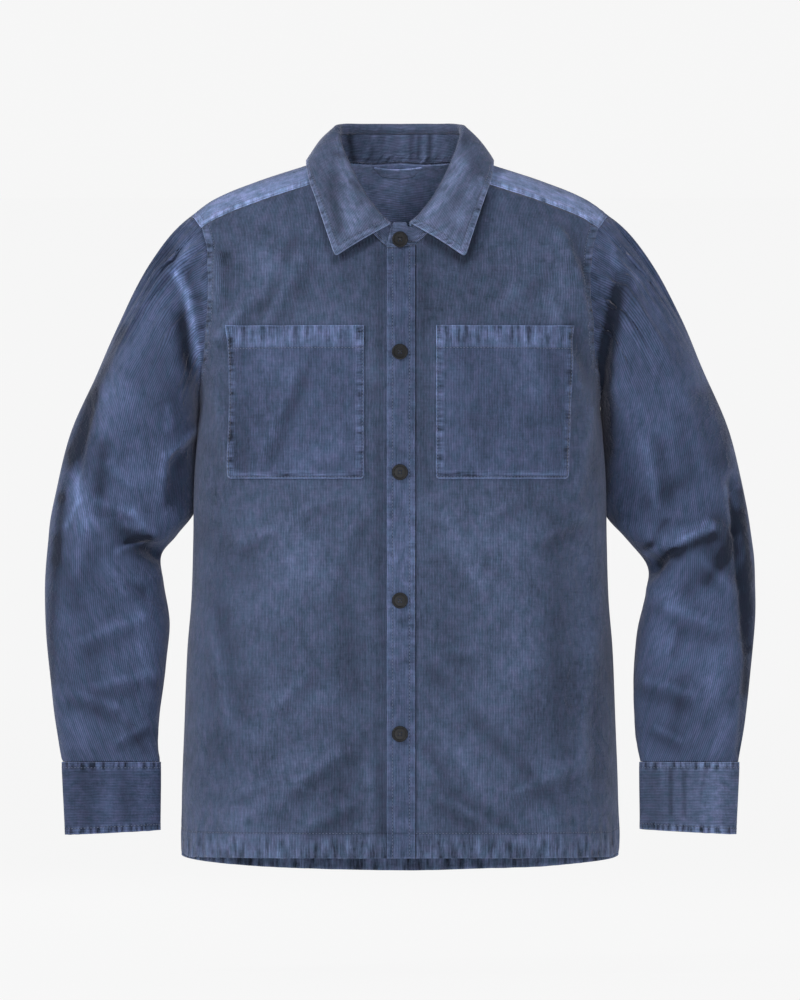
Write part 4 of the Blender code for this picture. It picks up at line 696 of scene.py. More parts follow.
def round_corner(points: Array, column_edge: Edge, row_edge: Edge, radius: float) -> Array:
    """A grid with one of its corners rounded.

    Args:
        points: Grid of points.
        column_edge: FIRST_COLUMN or LAST_COLUMN.
        row_edge: FIRST_ROW or LAST_ROW.
        radius: The corner's radius.

    Returns:
        The grid with points near the corner drawn in.
    """
    a, b = lengths_from(points, column_edge), lengths_from(points, row_edge)
    in_a, in_b = np.maximum(radius - a, 0), np.maximum(radius - b, 0)
    most = np.maximum(in_a, in_b)
    far = np.maximum(np.hypot(in_a, in_b), 1e-9)
    scale = most / far
    inward_a = unit(np.gradient(points, axis=0)) * (1 if column_edge is Edge.FIRST_COLUMN else -1)
    inward_b = unit(np.gradient(points, axis=1)) * (1 if row_edge is Edge.FIRST_ROW else -1)
    both = ((in_a > 0) & (in_b > 0))[..., None]
    shift = inward_a * (in_a * (1 - scale))[..., None] + inward_b * (in_b * (1 - scale))[..., None]
    return np.where(both, points + shift, points)


class Grain(NamedTuple):
    """A noise drawn out over the cloth: its waves to the metre across and along, detail and roughness."""

    across: float
    along: float
    detail: float
    roughness: float


GRAINS = {
    "patch": Grain(120.0, 75.0, 4.0, 0.65), "streak": Grain(820.0, 120.0, 3.0, 0.65),
    "drag": Grain(300.0, 34.0, 3.0, 0.6), "slub": Grain(70.0, 520.0, 3.0, 0.65),
    "side_tick": Grain(26.0, 165.0, 3.0, 0.6), "hem_tick": Grain(150.0, 22.0, 3.0, 0.6),
}
RELIEF = {
    "ridge": 0.00034, "crumple": 0.00120, "blotch": 0.00090, "slub": 0.00030, "drag": 0.00030,
    "ticks": 0.00130, "fuzz": 0.00012, "welt": 0.00045, "sunk": -0.00060,
}
STITCH_HALF_WIDTH = 0.0013
RIM_MIDDLE, RIM_HALF_WIDTH = 0.0004, 0.0011
MIDDLE_TONE, LEAST_TONE = 0.96, 0.25
PLUM_CAST = (1.22, 1.03, 1.10)
TEAL_CAST = (0.88, 1.04, 1.02)
Marks = dict[str, Socket]


class Graph:
    """A small helper that lays out a material's nodes."""

    def __init__(self, name: str) -> None:
        """Make an empty material with its Principled shader."""
        self.material = bpy.data.materials.new(name)
        self.material.use_nodes = True
        self.tree = self.material.node_tree
        self.shader = self.tree.nodes["Principled BSDF"]

    def node(self, kind: str, **settings: object) -> bpy.types.Node:
        """Add one node and set its properties."""
        made = self.tree.nodes.new(kind)
        for key, value in settings.items():
            setattr(made, key, value)
        return made

    def put(self, socket: Socket, value: object) -> None:
        """Join a socket to another, or set its value."""
        if isinstance(value, Socket):
            self.tree.links.new(value, socket)
        else:
            socket.default_value = value

    def math(self, operation: str, first: object, second: object = 0.0, third: object = 0.0,
             clamp: bool = False) -> Socket:
        """One Math node's result."""
        made = self.node("ShaderNodeMath", operation=operation, use_clamp=clamp)
        for socket, value in zip(made.inputs, (first, second, third)):
            self.put(socket, value)
        return made.outputs[0]

    def noise(self, vector: object, scale: float, detail: float = 2.0, roughness: float = 0.5) -> Socket:
        """One noise texture's value."""
        made = self.node("ShaderNodeTexNoise")
        self.put(made.inputs["Vector"], vector)
        made.inputs["Scale"].default_value = scale
        made.inputs["Detail"].default_value = detail
        made.inputs["Roughness"].default_value = roughness
        return made.outputs[0]

    def stretched(self, vector: object, scale: tuple[float, float, float]) -> Socket:
        """A vector scaled apart along its axes."""
        made = self.node("ShaderNodeMapping")
        self.put(made.inputs["Vector"], vector)
        made.inputs["Scale"].default_value = scale
        return made.outputs[0]

    def grain(self, vector: object, grain: "Grain") -> Socket:
        """One noise drawn out over a map."""
        return self.noise(self.stretched(vector, (grain.across, grain.along, 1.0)), 1.0, grain.detail,
                          grain.roughness)

    def bump(self, height: object, strength: float) -> None:
        """Raise the shader's surface by a height in metres."""
        made = self.node("ShaderNodeBump")
        made.inputs["Strength"].default_value = strength
        made.inputs["Distance"].default_value = 1.0
        self.put(made.inputs["Height"], height)
        self.put(self.shader.inputs["Normal"], made.outputs[0])

    def zone(self, distance: object, width: float) -> Socket:
        """1 at an edge, falling to 0 at a distance from it."""
        return self.math("SUBTRACT", 1.0, self.math("DIVIDE", distance, width), clamp=True)

    def blend(self, share: object, first: object, second: object, kind: str = "MIX") -> Socket:
        """Two colours blended by a share."""
        made = self.node("ShaderNodeMix", data_type="RGBA", blend_type=kind)
        self.put(made.inputs[0], share)
        self.put(made.inputs[6], first)
        self.put(made.inputs[7], second)
        return made.outputs[2]

    def band(self, distance: object, middle: float, half: float) -> Socket:
        """1 on a line at a distance, falling to 0 beside it."""
        off = self.math("ABSOLUTE", self.math("SUBTRACT", distance, middle))
        return self.math("SUBTRACT", 1.0, self.math("DIVIDE", off, half), clamp=True)


@dataclass(frozen=True)
class Corduroy:
    """Fine washed corduroy: brushed wales with painted shade in their grooves, blotchy fading, turned edges
    rubbed pale with a painted highlight, and puckered stitch lines with painted shade.
    """

    name: str
    colour: tuple[float, float, float]
    pitch: float = 0.00165
    side_stitch: tuple[float, ...] = (0.0075,)
    hem_stitch: tuple[float, ...] = (0.0265,)
    side_band: float = 0.0100
    hem_band: float = 0.0270
    rub_and_highlight: float = 0.5
    band_fade: float = 0.16
    sheen: float = 0.22
    tick: float = 0.8
    streaks: float = 1.0

    def build(self) -> Material:
        """The material's nodes.

        Returns:
            The finished material; it reads the map named cloth and the attributes side and hem.
        """
        g = Graph(self.name)
        marks = self.marks(g)
        shade = g.node("ShaderNodeCombineXYZ")
        tone = self.tone(g, marks)
        for axis in range(3):
            g.put(shade.inputs[axis], tone)
        teal, plum = ((*(part * cast for part, cast in zip(self.colour, casts)), 1.0)
                      for casts in (TEAL_CAST, PLUM_CAST))
        plum_share = g.math("MULTIPLY_ADD", g.math("SUBTRACT", marks["patch"], 0.5), 2.4, 0.5, clamp=True)
        base = g.blend(plum_share, teal, plum)
        g.put(g.shader.inputs["Base Color"], g.blend(1.0, base, shade.outputs[0], "MULTIPLY"))
        g.put(g.shader.inputs["Roughness"], g.math("MULTIPLY_ADD", marks["blotch"], 0.12, 0.84))
        g.shader.inputs["Specular IOR Level"].default_value = 0.15
        g.shader.inputs["Sheen Weight"].default_value = self.sheen
        g.shader.inputs["Sheen Roughness"].default_value = 0.30
        g.shader.inputs["Sheen Tint"].default_value = (0.82, 0.82, 1.0, 1.0)
        height: object = 0.0
        for key, size in RELIEF.items():
            height = g.math("MULTIPLY_ADD", marks[key], size, height)
        g.bump(height, 1.0)
        return g.material

    def marks(self, g: Graph) -> Marks:
        """Everything that sways the tone or the relief.

        Args:
            g: The material's nodes.

        Returns:
            The sockets of the noises, the wales, the seams' marks and the piece's own tone of painted light,
            shade and fading, by name.
        """
        place = g.node("ShaderNodeTexCoord").outputs["Object"]
        cloth = g.node("ShaderNodeUVMap", uv_map="cloth").outputs[0]
        split = g.node("ShaderNodeSeparateXYZ")
        g.put(split.inputs[0], cloth)
        side, hem, shade_and_fade_tone = (g.node("ShaderNodeAttribute", attribute_name=key).outputs["Fac"]
                          for key in ("side", "hem", "shade_and_fade_tone"))
        marks = {key: g.grain(cloth, grain) for key, grain in GRAINS.items()}
        marks["shade_and_fade_tone"] = shade_and_fade_tone
        marks["ridge"] = self.wales(g, place, split.outputs[0])
        marks["blotch"] = g.noise(place, 24.0, 6.0, 0.66)
        marks["cloud"] = g.noise(place, 7.0, 3.0, 0.5)
        marks["fuzz"] = g.noise(cloth, 2300.0, 3.0, 0.7)
        swell = g.math("MULTIPLY_ADD", g.noise(place, 33.0, 4.0, 0.55), 2.0, -1.0)
        marks["crumple"] = g.math("POWER", g.math("SUBTRACT", 1.0, g.math("ABSOLUTE", swell)), 5.0)
        side_zone, hem_zone = g.zone(side, self.side_band), g.zone(hem, self.hem_band)
        marks["ticks"] = g.math("ADD", self.spread(g, marks["side_tick"], side_zone, 3.0),
                                self.spread(g, marks["hem_tick"], hem_zone, 3.0))
        # A pale line along each edge: the rim rubbed pale, and a painted highlight where the turned edge
        # rounds over.
        rim = g.math("MAXIMUM", *(g.band(away, RIM_MIDDLE, RIM_HALF_WIDTH) for away in (side, hem)))
        marks["worn"] = g.math("MULTIPLY", rim, g.math("MULTIPLY_ADD", marks["streak"], 1.2, 0.25),
                               clamp=True)
        welts = (g.math("MULTIPLY", zone, 6.0, clamp=True) for zone in (side_zone, hem_zone))
        marks["welt"] = g.math("MAXIMUM", *welts)
        sunk: object = 0.0
        for distance, offsets in ((side, self.side_stitch), (hem, self.hem_stitch)):
            for offset in offsets:
                sunk = g.math("MAXIMUM", g.band(distance, offset, STITCH_HALF_WIDTH), sunk)
        marks["sunk"] = sunk
        return marks

    def tone(self, g: Graph, marks: Marks) -> Socket:
        """How pale the cloth is: noises and the piece's painted light, shade and fading, then painted shade
        in the wales' grooves and stitch lines, paler welts, then rubbed edges with a painted highlight.
        """
        streaks = self.streaks
        # In the colour, the ticks along seams stand in for their puckers' light and shade: painted shade and
        # highlight.
        parts = (("blotch", 1.00), ("cloud", 0.60), ("patch", 0.75), ("streak", 0.90 * streaks),
                 ("drag", 0.65 * streaks), ("slub", 0.45), ("fuzz", 0.40), ("ticks", self.tick))
        tone = self.swing(g, MIDDLE_TONE, [(marks[key], size) for key, size in parts])
        shade_and_fade_gain = g.math("MULTIPLY_ADD", marks["patch"], 2.4, 0.55)
        # Then the piece's painted light, shade and fading; painted shade in the wales' grooves and in the
        # sunk stitch lines; and the paler welts.
        for key, gain, start in (("shade_and_fade_tone", shade_and_fade_gain, 1.0), ("ridge", 0.80, 0.48), ("sunk", -0.27, 1.0),
                                 ("welt", self.band_fade, 1.0)):
            tone = g.math("MULTIPLY", tone, g.math("MULTIPLY_ADD", marks[key], gain, start))
        # The rubbed rim with its painted highlight.
        tone = g.math("ADD", tone, g.math("MULTIPLY", marks["worn"], self.rub_and_highlight))
        return g.math("MAXIMUM", tone, LEAST_TONE)

    def wales(self, g: Graph, place: Socket, across: Socket) -> Socket:
        """The wales' rounded tops, which drift a little sideways: 1 on top and 0 in the groove."""
        drift = g.math("MULTIPLY", g.math("SUBTRACT", g.noise(place, 38.0, 2.0), 0.5), 0.0016)
        turn = g.math("MULTIPLY", g.math("ADD", across, drift), math.pi / self.pitch)
        return g.math("POWER", g.math("ABSOLUTE", g.math("SINE", turn)), 0.7)

    @staticmethod
    def spread(g: Graph, noise: Socket, zone: Socket, gain: float) -> Socket:
        """A noise drawn apart about its middle, and kept to a zone."""
        return g.math("MULTIPLY", g.math("MULTIPLY_ADD", noise, gain, -0.5 * gain),
                      g.math("MULTIPLY", zone, 2.0, clamp=True))

    @staticmethod
    def swing(g: Graph, start: float, parts: Sequence[tuple[Socket, float]]) -> Socket:
        """A tone that each noise moves up and down about its middle; the last one moves about nothing."""
        tone: object = start - 0.5 * sum(size for _, size in parts[:-1])
        for value, size in parts:
            tone = g.math("MULTIPLY_ADD", value, size, tone)
        return tone


@dataclass(frozen=True)
class HornButton:
    """Dark moulded button plastic, a little scratched, with a soft gloss on its rim."""

    name: str = "button_dark"
    colour: tuple[float, float, float] = (0.0095, 0.0097, 0.0105)

    def build(self) -> Material:
        """The material's nodes."""
        g = Graph(self.name)
        place = g.node("ShaderNodeTexCoord").outputs["Object"]
        cloud = g.noise(place, 240.0, 4.0, 0.6)
        scratch = g.noise(g.stretched(place, (2400.0, 300.0, 900.0)), 1.0, 3.0, 0.7)
        pale = tuple(c * 2.0 for c in self.colour)
        g.shader.inputs["Specular IOR Level"].default_value = 0.14
        g.put(g.shader.inputs["Base Color"], g.blend(cloud, (*self.colour, 1.0), (*pale, 1.0)))
        g.put(g.shader.inputs["Roughness"], g.math("MULTIPLY_ADD", scratch, 0.30, 0.26))
        g.bump(g.math("MULTIPLY", scratch, 0.00006), 0.5)
        return g.material


@dataclass(frozen=True)
class Thread:
    """Sewing thread, two plies twisted together."""

    name: str
    colour: tuple[float, float, float]

    def build(self) -> Material:
        """The material's nodes."""
        g = Graph(self.name)
        place = g.node("ShaderNodeTexCoord").outputs["Object"]
        ply = g.noise(g.stretched(place, (1800.0, 1800.0, 900.0)), 1.0, 2.0)
        pale = tuple(min(c * 1.7, 1.0) for c in self.colour)
        g.put(g.shader.inputs["Base Color"], g.blend(ply, (*self.colour, 1.0), (*pale, 1.0)))
        g.put(g.shader.inputs["Roughness"], g.math("MULTIPLY_ADD", ply, 0.2, 0.55))
        g.shader.inputs["Sheen Weight"].default_value = 0.2
        return g.material


@dataclass
class ClothPiece:
    """One cut piece of cloth: a thin shell on a grid of points, with its map and edge distances."""

    name: str
    points: Array
    normals: Array
    cloth_map: Array
    thickness: float = CLOTH
    stitched: tuple[Edge, ...] = ()
    hemmed: tuple[Edge, ...] = ()
    closed: bool = False
    tone: Optional[Array] = None
    reverse: Optional[Material] = None
    object: Optional[bpy.types.Object] = None

    def distance(self, edges: Sequence[Edge]) -> Array:
        """Each point's distance from the nearest of some edges."""
        far = np.full(self.points.shape[:2], 1.0)
        for edge in edges:
            far = np.minimum(far, lengths_from(self.points, edge))
        return far

    def build(self, material: Material, nodes: Sequence[str]) -> bpy.types.Object:
        """Make the shell's mesh and dress it.

        Args:
            material: The finish.
            nodes: The solids it stands for.

        Returns:
            The finished object, at the origin.
        """
        columns, rows = self.points.shape[0] - 1, self.points.shape[1] - 1
        mesh = bmesh.new()
        bmesh.ops.create_grid(mesh, x_segments=columns, y_segments=rows, size=0.5)
        column_of = mesh.verts.layers.int.new("column")
        row_of = mesh.verts.layers.int.new("row")
        edge_layer = mesh.verts.layers.float.new("side")
        hem_layer = mesh.verts.layers.float.new("hem")
        # The piece's painted light, shade and fading goes in an attribute of its own.
        shade_and_fade_layer = mesh.verts.layers.float.new("shade_and_fade_tone")
        uv_layer = mesh.loops.layers.uv.new("cloth")
        edge, hem = self.distance(self.stitched), self.distance(self.hemmed)
        tone = np.zeros(self.points.shape[:2]) if self.tone is None else self.tone
        for vert in mesh.verts:
            c, r = round((vert.co.x + 0.5) * columns), round((vert.co.y + 0.5) * rows)
            vert[column_of], vert[row_of] = c, r
            vert.co = self.points[c, r]
            for layer, values in ((edge_layer, edge), (hem_layer, hem), (shade_and_fade_layer, tone)):
                vert[layer] = float(values[c, r])
        for face in mesh.faces:
            for loop in face.loops:
                loop[uv_layer].uv = self.cloth_map[loop.vert[column_of], loop.vert[row_of]]
        if self.closed:
            bmesh.ops.remove_doubles(mesh, verts=mesh.verts, dist=CLOSE_ENOUGH)
        mesh.normal_update()
        agree = sum(face.normal.dot(Vector(self.normals[face.verts[0][column_of], face.verts[0][row_of]]))
                    for face in mesh.faces)
        if agree < 0:
            bmesh.ops.reverse_faces(mesh, faces=mesh.faces)
        self.object = place_object(self.name + "_cloth", kept_mesh(mesh, self.name + "_cloth"), material)
        wall = self.object.modifiers.new("wall", "SOLIDIFY")
        wall.thickness = self.thickness
        wall.offset = -1.0
        wall.use_even_offset = False
        if self.reverse is not None:
            self.object.data.materials.append(self.reverse)
            wall.material_offset = 1
        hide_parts(*nodes)
        return self.object

    def beside(self, edge: Edge, offset: float, start: float = 0.0, end: float = 1.0) -> tuple[Array, Array]:
        """A line on the outer face at a distance from one edge.

        Args:
            edge: The edge that the line follows.
            offset: Its distance from that edge.
            start: Where the line starts, as a share of the edge.
            end: Where it ends.

        Returns:
            The line's points and outward directions.
        """
        points, normals = self.points, self.normals
        if edge in (Edge.FIRST_ROW, Edge.LAST_ROW):
            points, normals = points.transpose(1, 0, 2), normals.transpose(1, 0, 2)
        if edge in (Edge.LAST_COLUMN, Edge.LAST_ROW):
            points, normals = points[::-1], normals[::-1]
        length = lengths_from(points, Edge.FIRST_COLUMN)
        count = points.shape[1]
        keep = range(int(round(start * (count - 1))), int(round(end * (count - 1))) + 1)
        line, out = [], []
        for j in keep:
            at = float(np.interp(offset, length[:, j], np.arange(len(points))))
            low = min(int(at), len(points) - 2)
            line.append(mix(points[low, j], points[low + 1, j], at - low))
            out.append(mix(normals[low, j], normals[low + 1, j], at - low))
        return np.array(line), unit(np.array(out))


def place_object(name: str, data: bpy.types.Mesh, material: Material) -> bpy.types.Object:
    """Link a finished mesh with its finish and let it ride on the garment."""
    data.materials.append(material)
    made = bpy.data.objects.new(name, data)
    bpy.context.scene.collection.objects.link(made)
    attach(made, "root")
    return made


@dataclass
class StitchRow:
    """Rows of machine stitches that are joined in one mesh."""

    name: str
    length: float = 0.0024
    gap: float = 0.0012
    width: float = 0.00030
    lines: list[tuple[Array, Array]] = field(default_factory=list)

    def add(self, line: tuple[Array, Array]) -> None:
        """Take in one more line of stitching."""
        self.lines.append(line)

    def build(self, material: Material) -> bpy.types.Object:
        """Lay a small rounded stitch at each step along every line.

        Args:
            material: The thread's finish.

        Returns:
            The joined stitches.
        """
        mesh = bmesh.new()
        for points, normals in self.lines:
            reach = reach_along(points)
            places = np.arange(self.length / 2, reach[-1] - self.length / 2, self.length + self.gap)
            for at in places:
                spot, ahead = place_on(points, reach, at), place_on(points, reach, at + 0.001)
                out = Vector(place_on(normals, reach, at)).normalized()
                run = Vector(ahead - spot).normalized()
                across = out.cross(run).normalized()
                turn = Matrix((run, across, out)).transposed().to_4x4()
                size = Matrix.Diagonal((self.length / 2, self.width, self.width * 0.8, 1.0))
                place = Matrix.Translation(Vector(spot) + out * self.width * 0.15)
                bmesh.ops.create_icosphere(mesh, subdivisions=1, radius=1.0, matrix=place @ turn @ size)
        return place_object(self.name, kept_mesh(mesh, self.name), material)


class Cut(NamedTuple):
    """A piece's flat width and length, its flat area if that isn't their product, and its slot."""

    flat: tuple[float, float]
    area: Optional[float] = None
    slot: str = "trim_cloth"


@dataclass
class Front:
    """One front, from its inner edge round to the side seam, armhole, shoulder seam and neckline."""

    hand: int
    inner: float
    columns: int = 90
    rows: int = 210
    piece: Optional[ClothPiece] = None

    def surface(self, share: Array, height: Array) -> Array:
        """Bare form points by share of the width and height."""
        edge = np.where(height <= UNDERARM, BODY.read(height, 1),
                        ARMHOLE.read(np.maximum(height, UNDERARM), 1))
        inner = BodyForm.angle_of(np.full_like(height, self.inner), height)
        across = BodyForm.across_of(mix(inner, BodyForm.angle_of(edge, height), share), height)
        return BodyForm.point(self.hand * across, height, -1.0)

    @staticmethod
    def top(across: Array) -> Array:
        """The upper edge's height: the neckline, then the shoulder seam."""
        seam = SHOULDER.read(across) - SHOULDER_DROP * BodyForm.drop_of_turn(FRONT_SEAM_TURN) - HALF_GAP
        return np.where(across < NECK_END, NECK_FRONT.read(across), seam)

    def build(self, name: str) -> ClothPiece:
        """Shape the panel's shell.

        Args:
            name: The piece's name.

        Returns:
            The shaped piece, not yet dressed.
        """
        share = np.linspace(0, 1, self.columns)
        top = np.full(self.columns, -0.06)
        for _ in range(24):
            across = np.abs(self.surface(share, top)[:, 0])
            across = np.where(share == 0, self.inner, across)
            top = 0.5 * top + 0.5 * self.top(np.minimum(across, SEAM_END))
        hem_across = np.abs(self.surface(share, np.full(self.columns, HEM))[:, 0])
        low = HEM + SIDE_RISE * ease((hem_across - 0.222) / 0.012)
        rise = np.linspace(0, 1, self.rows)
        height = mix(low[:, None], top[:, None], rise[None, :])
        grid = np.broadcast_to(share[:, None], height.shape)
        bare = self.surface(grid, height)
        bare[-1, height[-1] <= UNDERARM, 1] = -HALF_GAP
        normals = grid_normals(bare, (0.0, -1.0, 0.0))
        points = bare + normals * body_lift(bare, Side.FRONT)[..., None]
        across = np.abs(bare[..., 0])
        near_middle = self.hand * bare[..., 0]
        if self.inner < 0:
            dip = -PLACKET_DIP * ease((0.0215 - near_middle) / 0.006)
            points += normals * dip[..., None]
        hem_away = lengths_from(points, Edge.FIRST_ROW)
        along = np.cumsum(np.insert(np.linalg.norm(np.diff(points, axis=0), axis=-1), 0, 0.0, axis=0), axis=0)
        pucker = HEM_PUCKER.ripple(along, 1.0 + self.hand, hem_away)
        arm_away = lengths_from(points, Edge.LAST_COLUMN)
        arm = ARMHOLE_PUCKER.ripple(height, 4.0 + self.hand, arm_away) * (height > UNDERARM)
        calm = ease(np.minimum(hem_away, arm_away) / 0.004) * ease((near_middle - 0.018) / 0.006)
        points = points + normals * ((pucker + arm) * calm)[..., None]
        level = np.abs(arc_lengths(bare))
        cloth_map = np.stack([level, bare[..., 2]], axis=-1)
        normals = grid_normals(points, normals)
        self.piece = ClothPiece(name, points, normals, cloth_map, stitched=(Edge.LAST_COLUMN,),
                                hemmed=(Edge.FIRST_ROW,),
                                tone=body_tone(bare, Side.FRONT))
        return self.piece


def arc_lengths(points: Array) -> Array:
    """Distance of each point from the middle, measured level round the cloth."""
    steps = np.diff(points[..., :2], axis=0)
    run = np.cumsum(np.linalg.norm(steps, axis=-1), axis=0)
    return np.concatenate([np.zeros((1, points.shape[1])), run]) + np.abs(points[0, :, 0])


def body_lift(points: Array, side: Side) -> Array:
    """How far the folds and creases raise the trunk's cloth.

    Args:
        points: Points of the bare form.
        side: Front or back.

    Returns:
        The lift of each point; it dies out at the side seams and over the shoulders.
    """
    x, z = points[..., 0], points[..., 2]
    front = side is Side.FRONT
    folds = lift_of(BODY_FRONT_FOLDS if front else BODY_BACK_FOLDS, x, z)
    creases = lift_of(BODY_FRONT_CREASES if front else BODY_BACK_CREASES, x, z)
    creases = creases + 0.0011 * unrest(x, z, 2.0 if front else 5.0)
    share = np.minimum(np.abs(x) / BODY.read(z, 1), 1.0)
    turn = BodyForm.turn_at(x, z)
    calm = ease((1 - share) / 0.12) * ease((turn - 0.5) / 0.4)
    quiet = ease((1 - share) / 0.05) * ease((turn - 0.45) / 0.3)
    return folds * calm + CREASE_STRENGTH * creases * quiet


def body_tone(points: Array, side: Side) -> Array:
    """The trunk's painted light and shade of its folds and creases, and its strokes of painted light, shade
    and fading, at points of the bare form.
    """
    x, z = points[..., 0], points[..., 2]
    if side is Side.FRONT:
        return tone_of(BODY_FRONT_FOLDS + BODY_FRONT_CREASES, FRONT_SHADE_AND_FADE, x, z)
    return tone_of(BODY_BACK_FOLDS + BODY_BACK_CREASES, BACK_SHADE_AND_FADE, x, z)


@dataclass
class Back:
    """The back, from the hem to the yoke's seam."""

    columns: int = 150
    rows: int = 180

    def build(self) -> ClothPiece:
        """Shape the panel's shell."""
        share = np.linspace(-1, 1, self.columns)
        rise = np.linspace(0, 1, self.rows)
        level = np.full(self.columns, HEM)
        across = BodyForm.across_of(share * math.pi / 2, level)
        outward = np.minimum(np.abs(across) / BODY.read(HEM, 1), 1)
        low = BACK_HEM_SIDE - BACK_HEM_DROP * np.sqrt(1 - outward ** 2)
        height = mix(low[:, None], BACK_SEAM - HALF_GAP, rise[None, :])
        reach = ARMHOLE.read(np.maximum(height, UNDERARM), 2)
        reach = mix(reach, BACK_SEAM_END, ease((height - BACK_SEAM) / 0.02 + 1))
        limit = np.where(height <= UNDERARM, math.pi / 2, BodyForm.angle_of(reach, height))
        bare = BodyForm.point(BodyForm.across_of(share[:, None] * limit, height), height, 1.0)
        for end in (0, -1):
            bare[end, height[end] <= UNDERARM, 1] = HALF_GAP
        normals = grid_normals(bare, (0.0, 1.0, 0.0))
        points = bare + normals * body_lift(bare, Side.BACK)[..., None]
        run = np.cumsum(np.linalg.norm(np.diff(bare[..., :2], axis=0), axis=-1), axis=0)
        run = np.concatenate([np.zeros((1, self.rows)), run])
        level = run - run[self.columns // 2]
        hem_away = lengths_from(points, Edge.FIRST_ROW)
        top_away = lengths_from(points, Edge.LAST_ROW)
        pucker = HEM_PUCKER.ripple(level, 7.0, hem_away) + YOKE_PUCKER.ripple(level, 9.0, top_away)
        calm = ease(np.minimum(hem_away, top_away) / 0.004)
        points = points + normals * (pucker * calm)[..., None]
        cloth_map = np.stack([level, bare[..., 2]], axis=-1)
        return ClothPiece("back", points, grid_normals(points, normals), cloth_map, hemmed=(Edge.FIRST_ROW,),
                          tone=body_tone(bare, Side.BACK))


@dataclass
class Yoke:
    """The yoke, over both shoulders, from the neckline to its seams."""

    arm_steps: int = 26
    back_steps: int = 130
    rows: int = 44
    arm_share: float = 0.52
    front_painted_light: float = 0.75

    @staticmethod
    def neck_place(share: Array) -> tuple[Array, Array]:
        """The neckline over the shoulders: distance from the middle and turn, by a share of its length."""
        half = np.minimum(share, 1 - share) * 2
        across = NECK_BACK.read(half, 1)
        return np.where(share > 0.5, across, -across), NECK_BACK.read(half, 2)

    def outline(self) -> tuple[Array, Array]:
        """Distance from the middle and turn along the outer edge."""
        share = np.linspace(0, 1, self.arm_steps + 1)
        bow = SHOULDER_POINT - 0.5 * (SEAM_END + BACK_SEAM_END)
        arm = mix(SEAM_END, BACK_SEAM_END, share) + bow * np.sin(math.pi * share) ** 0.8
        seam_height = BACK_SEAM + HALF_GAP
        arm_turn = mix(FRONT_SEAM_TURN, BodyForm.turn_at(BACK_SEAM_END, seam_height), share)
        limit = float(BodyForm.angle_of(np.array(BACK_SEAM_END), np.array(BACK_SEAM)))
        angle = np.linspace(-limit, limit, self.back_steps + 1)[1:-1]
        seam = BodyForm.across_of(angle, np.full_like(angle, BACK_SEAM))
        seam_turn = BodyForm.turn_at(seam, seam_height)
        return np.concatenate([-arm, seam, arm[::-1]]), np.concatenate([arm_turn, seam_turn, arm_turn[::-1]])

    def build(self) -> ClothPiece:
        """Shape the yoke's shell."""
        far, far_turn = self.outline()
        count = len(far)
        order = np.arange(count)
        half = 0.5 * self.arm_share
        first = half * order / self.arm_steps
        last = 1 - half * (count - 1 - order) / self.arm_steps
        middle = mix(half, 1 - half, (order - self.arm_steps) / self.back_steps)
        behind = order >= self.arm_steps + self.back_steps
        share = np.where(order <= self.arm_steps, first, np.where(behind, last, middle))
        near, near_turn = self.neck_place(share)
        step = np.linspace(0, 1, self.rows)[None, :]
        across = mix(near[:, None], far[:, None], step)
        turn = mix(near_turn[:, None], far_turn[:, None], step)
        turn[0] += HALF_GAP / TURN_LENGTH
        turn[-1] += HALF_GAP / TURN_LENGTH
        bare = BodyForm.over(across, turn)
        normals = grid_normals(bare, (0.0, 0.3, 1.0))
        lift = body_lift(bare, Side.BACK) * (turn > 0) + body_lift(bare, Side.FRONT) * (turn <= 0)
        points = bare + normals * lift[..., None]
        away = lengths_from(points, Edge.LAST_ROW)
        pucker = YOKE_PUCKER.ripple(lengths_from(points, Edge.FIRST_COLUMN), 3.0, away)
        points = points + normals * (pucker * ease(away / 0.003))[..., None]
        cloth_map = np.stack([turn * TURN_LENGTH, across], axis=-1)
        # Painted light on the yoke's front strip, which faces up into the light.
        tone = self.front_painted_light * ease((0.05 - turn) / 0.35)
        return ClothPiece("yoke", points, grid_normals(points, normals), cloth_map, tone=tone,
                          stitched=(Edge.LAST_ROW, Edge.FIRST_COLUMN, Edge.LAST_COLUMN))


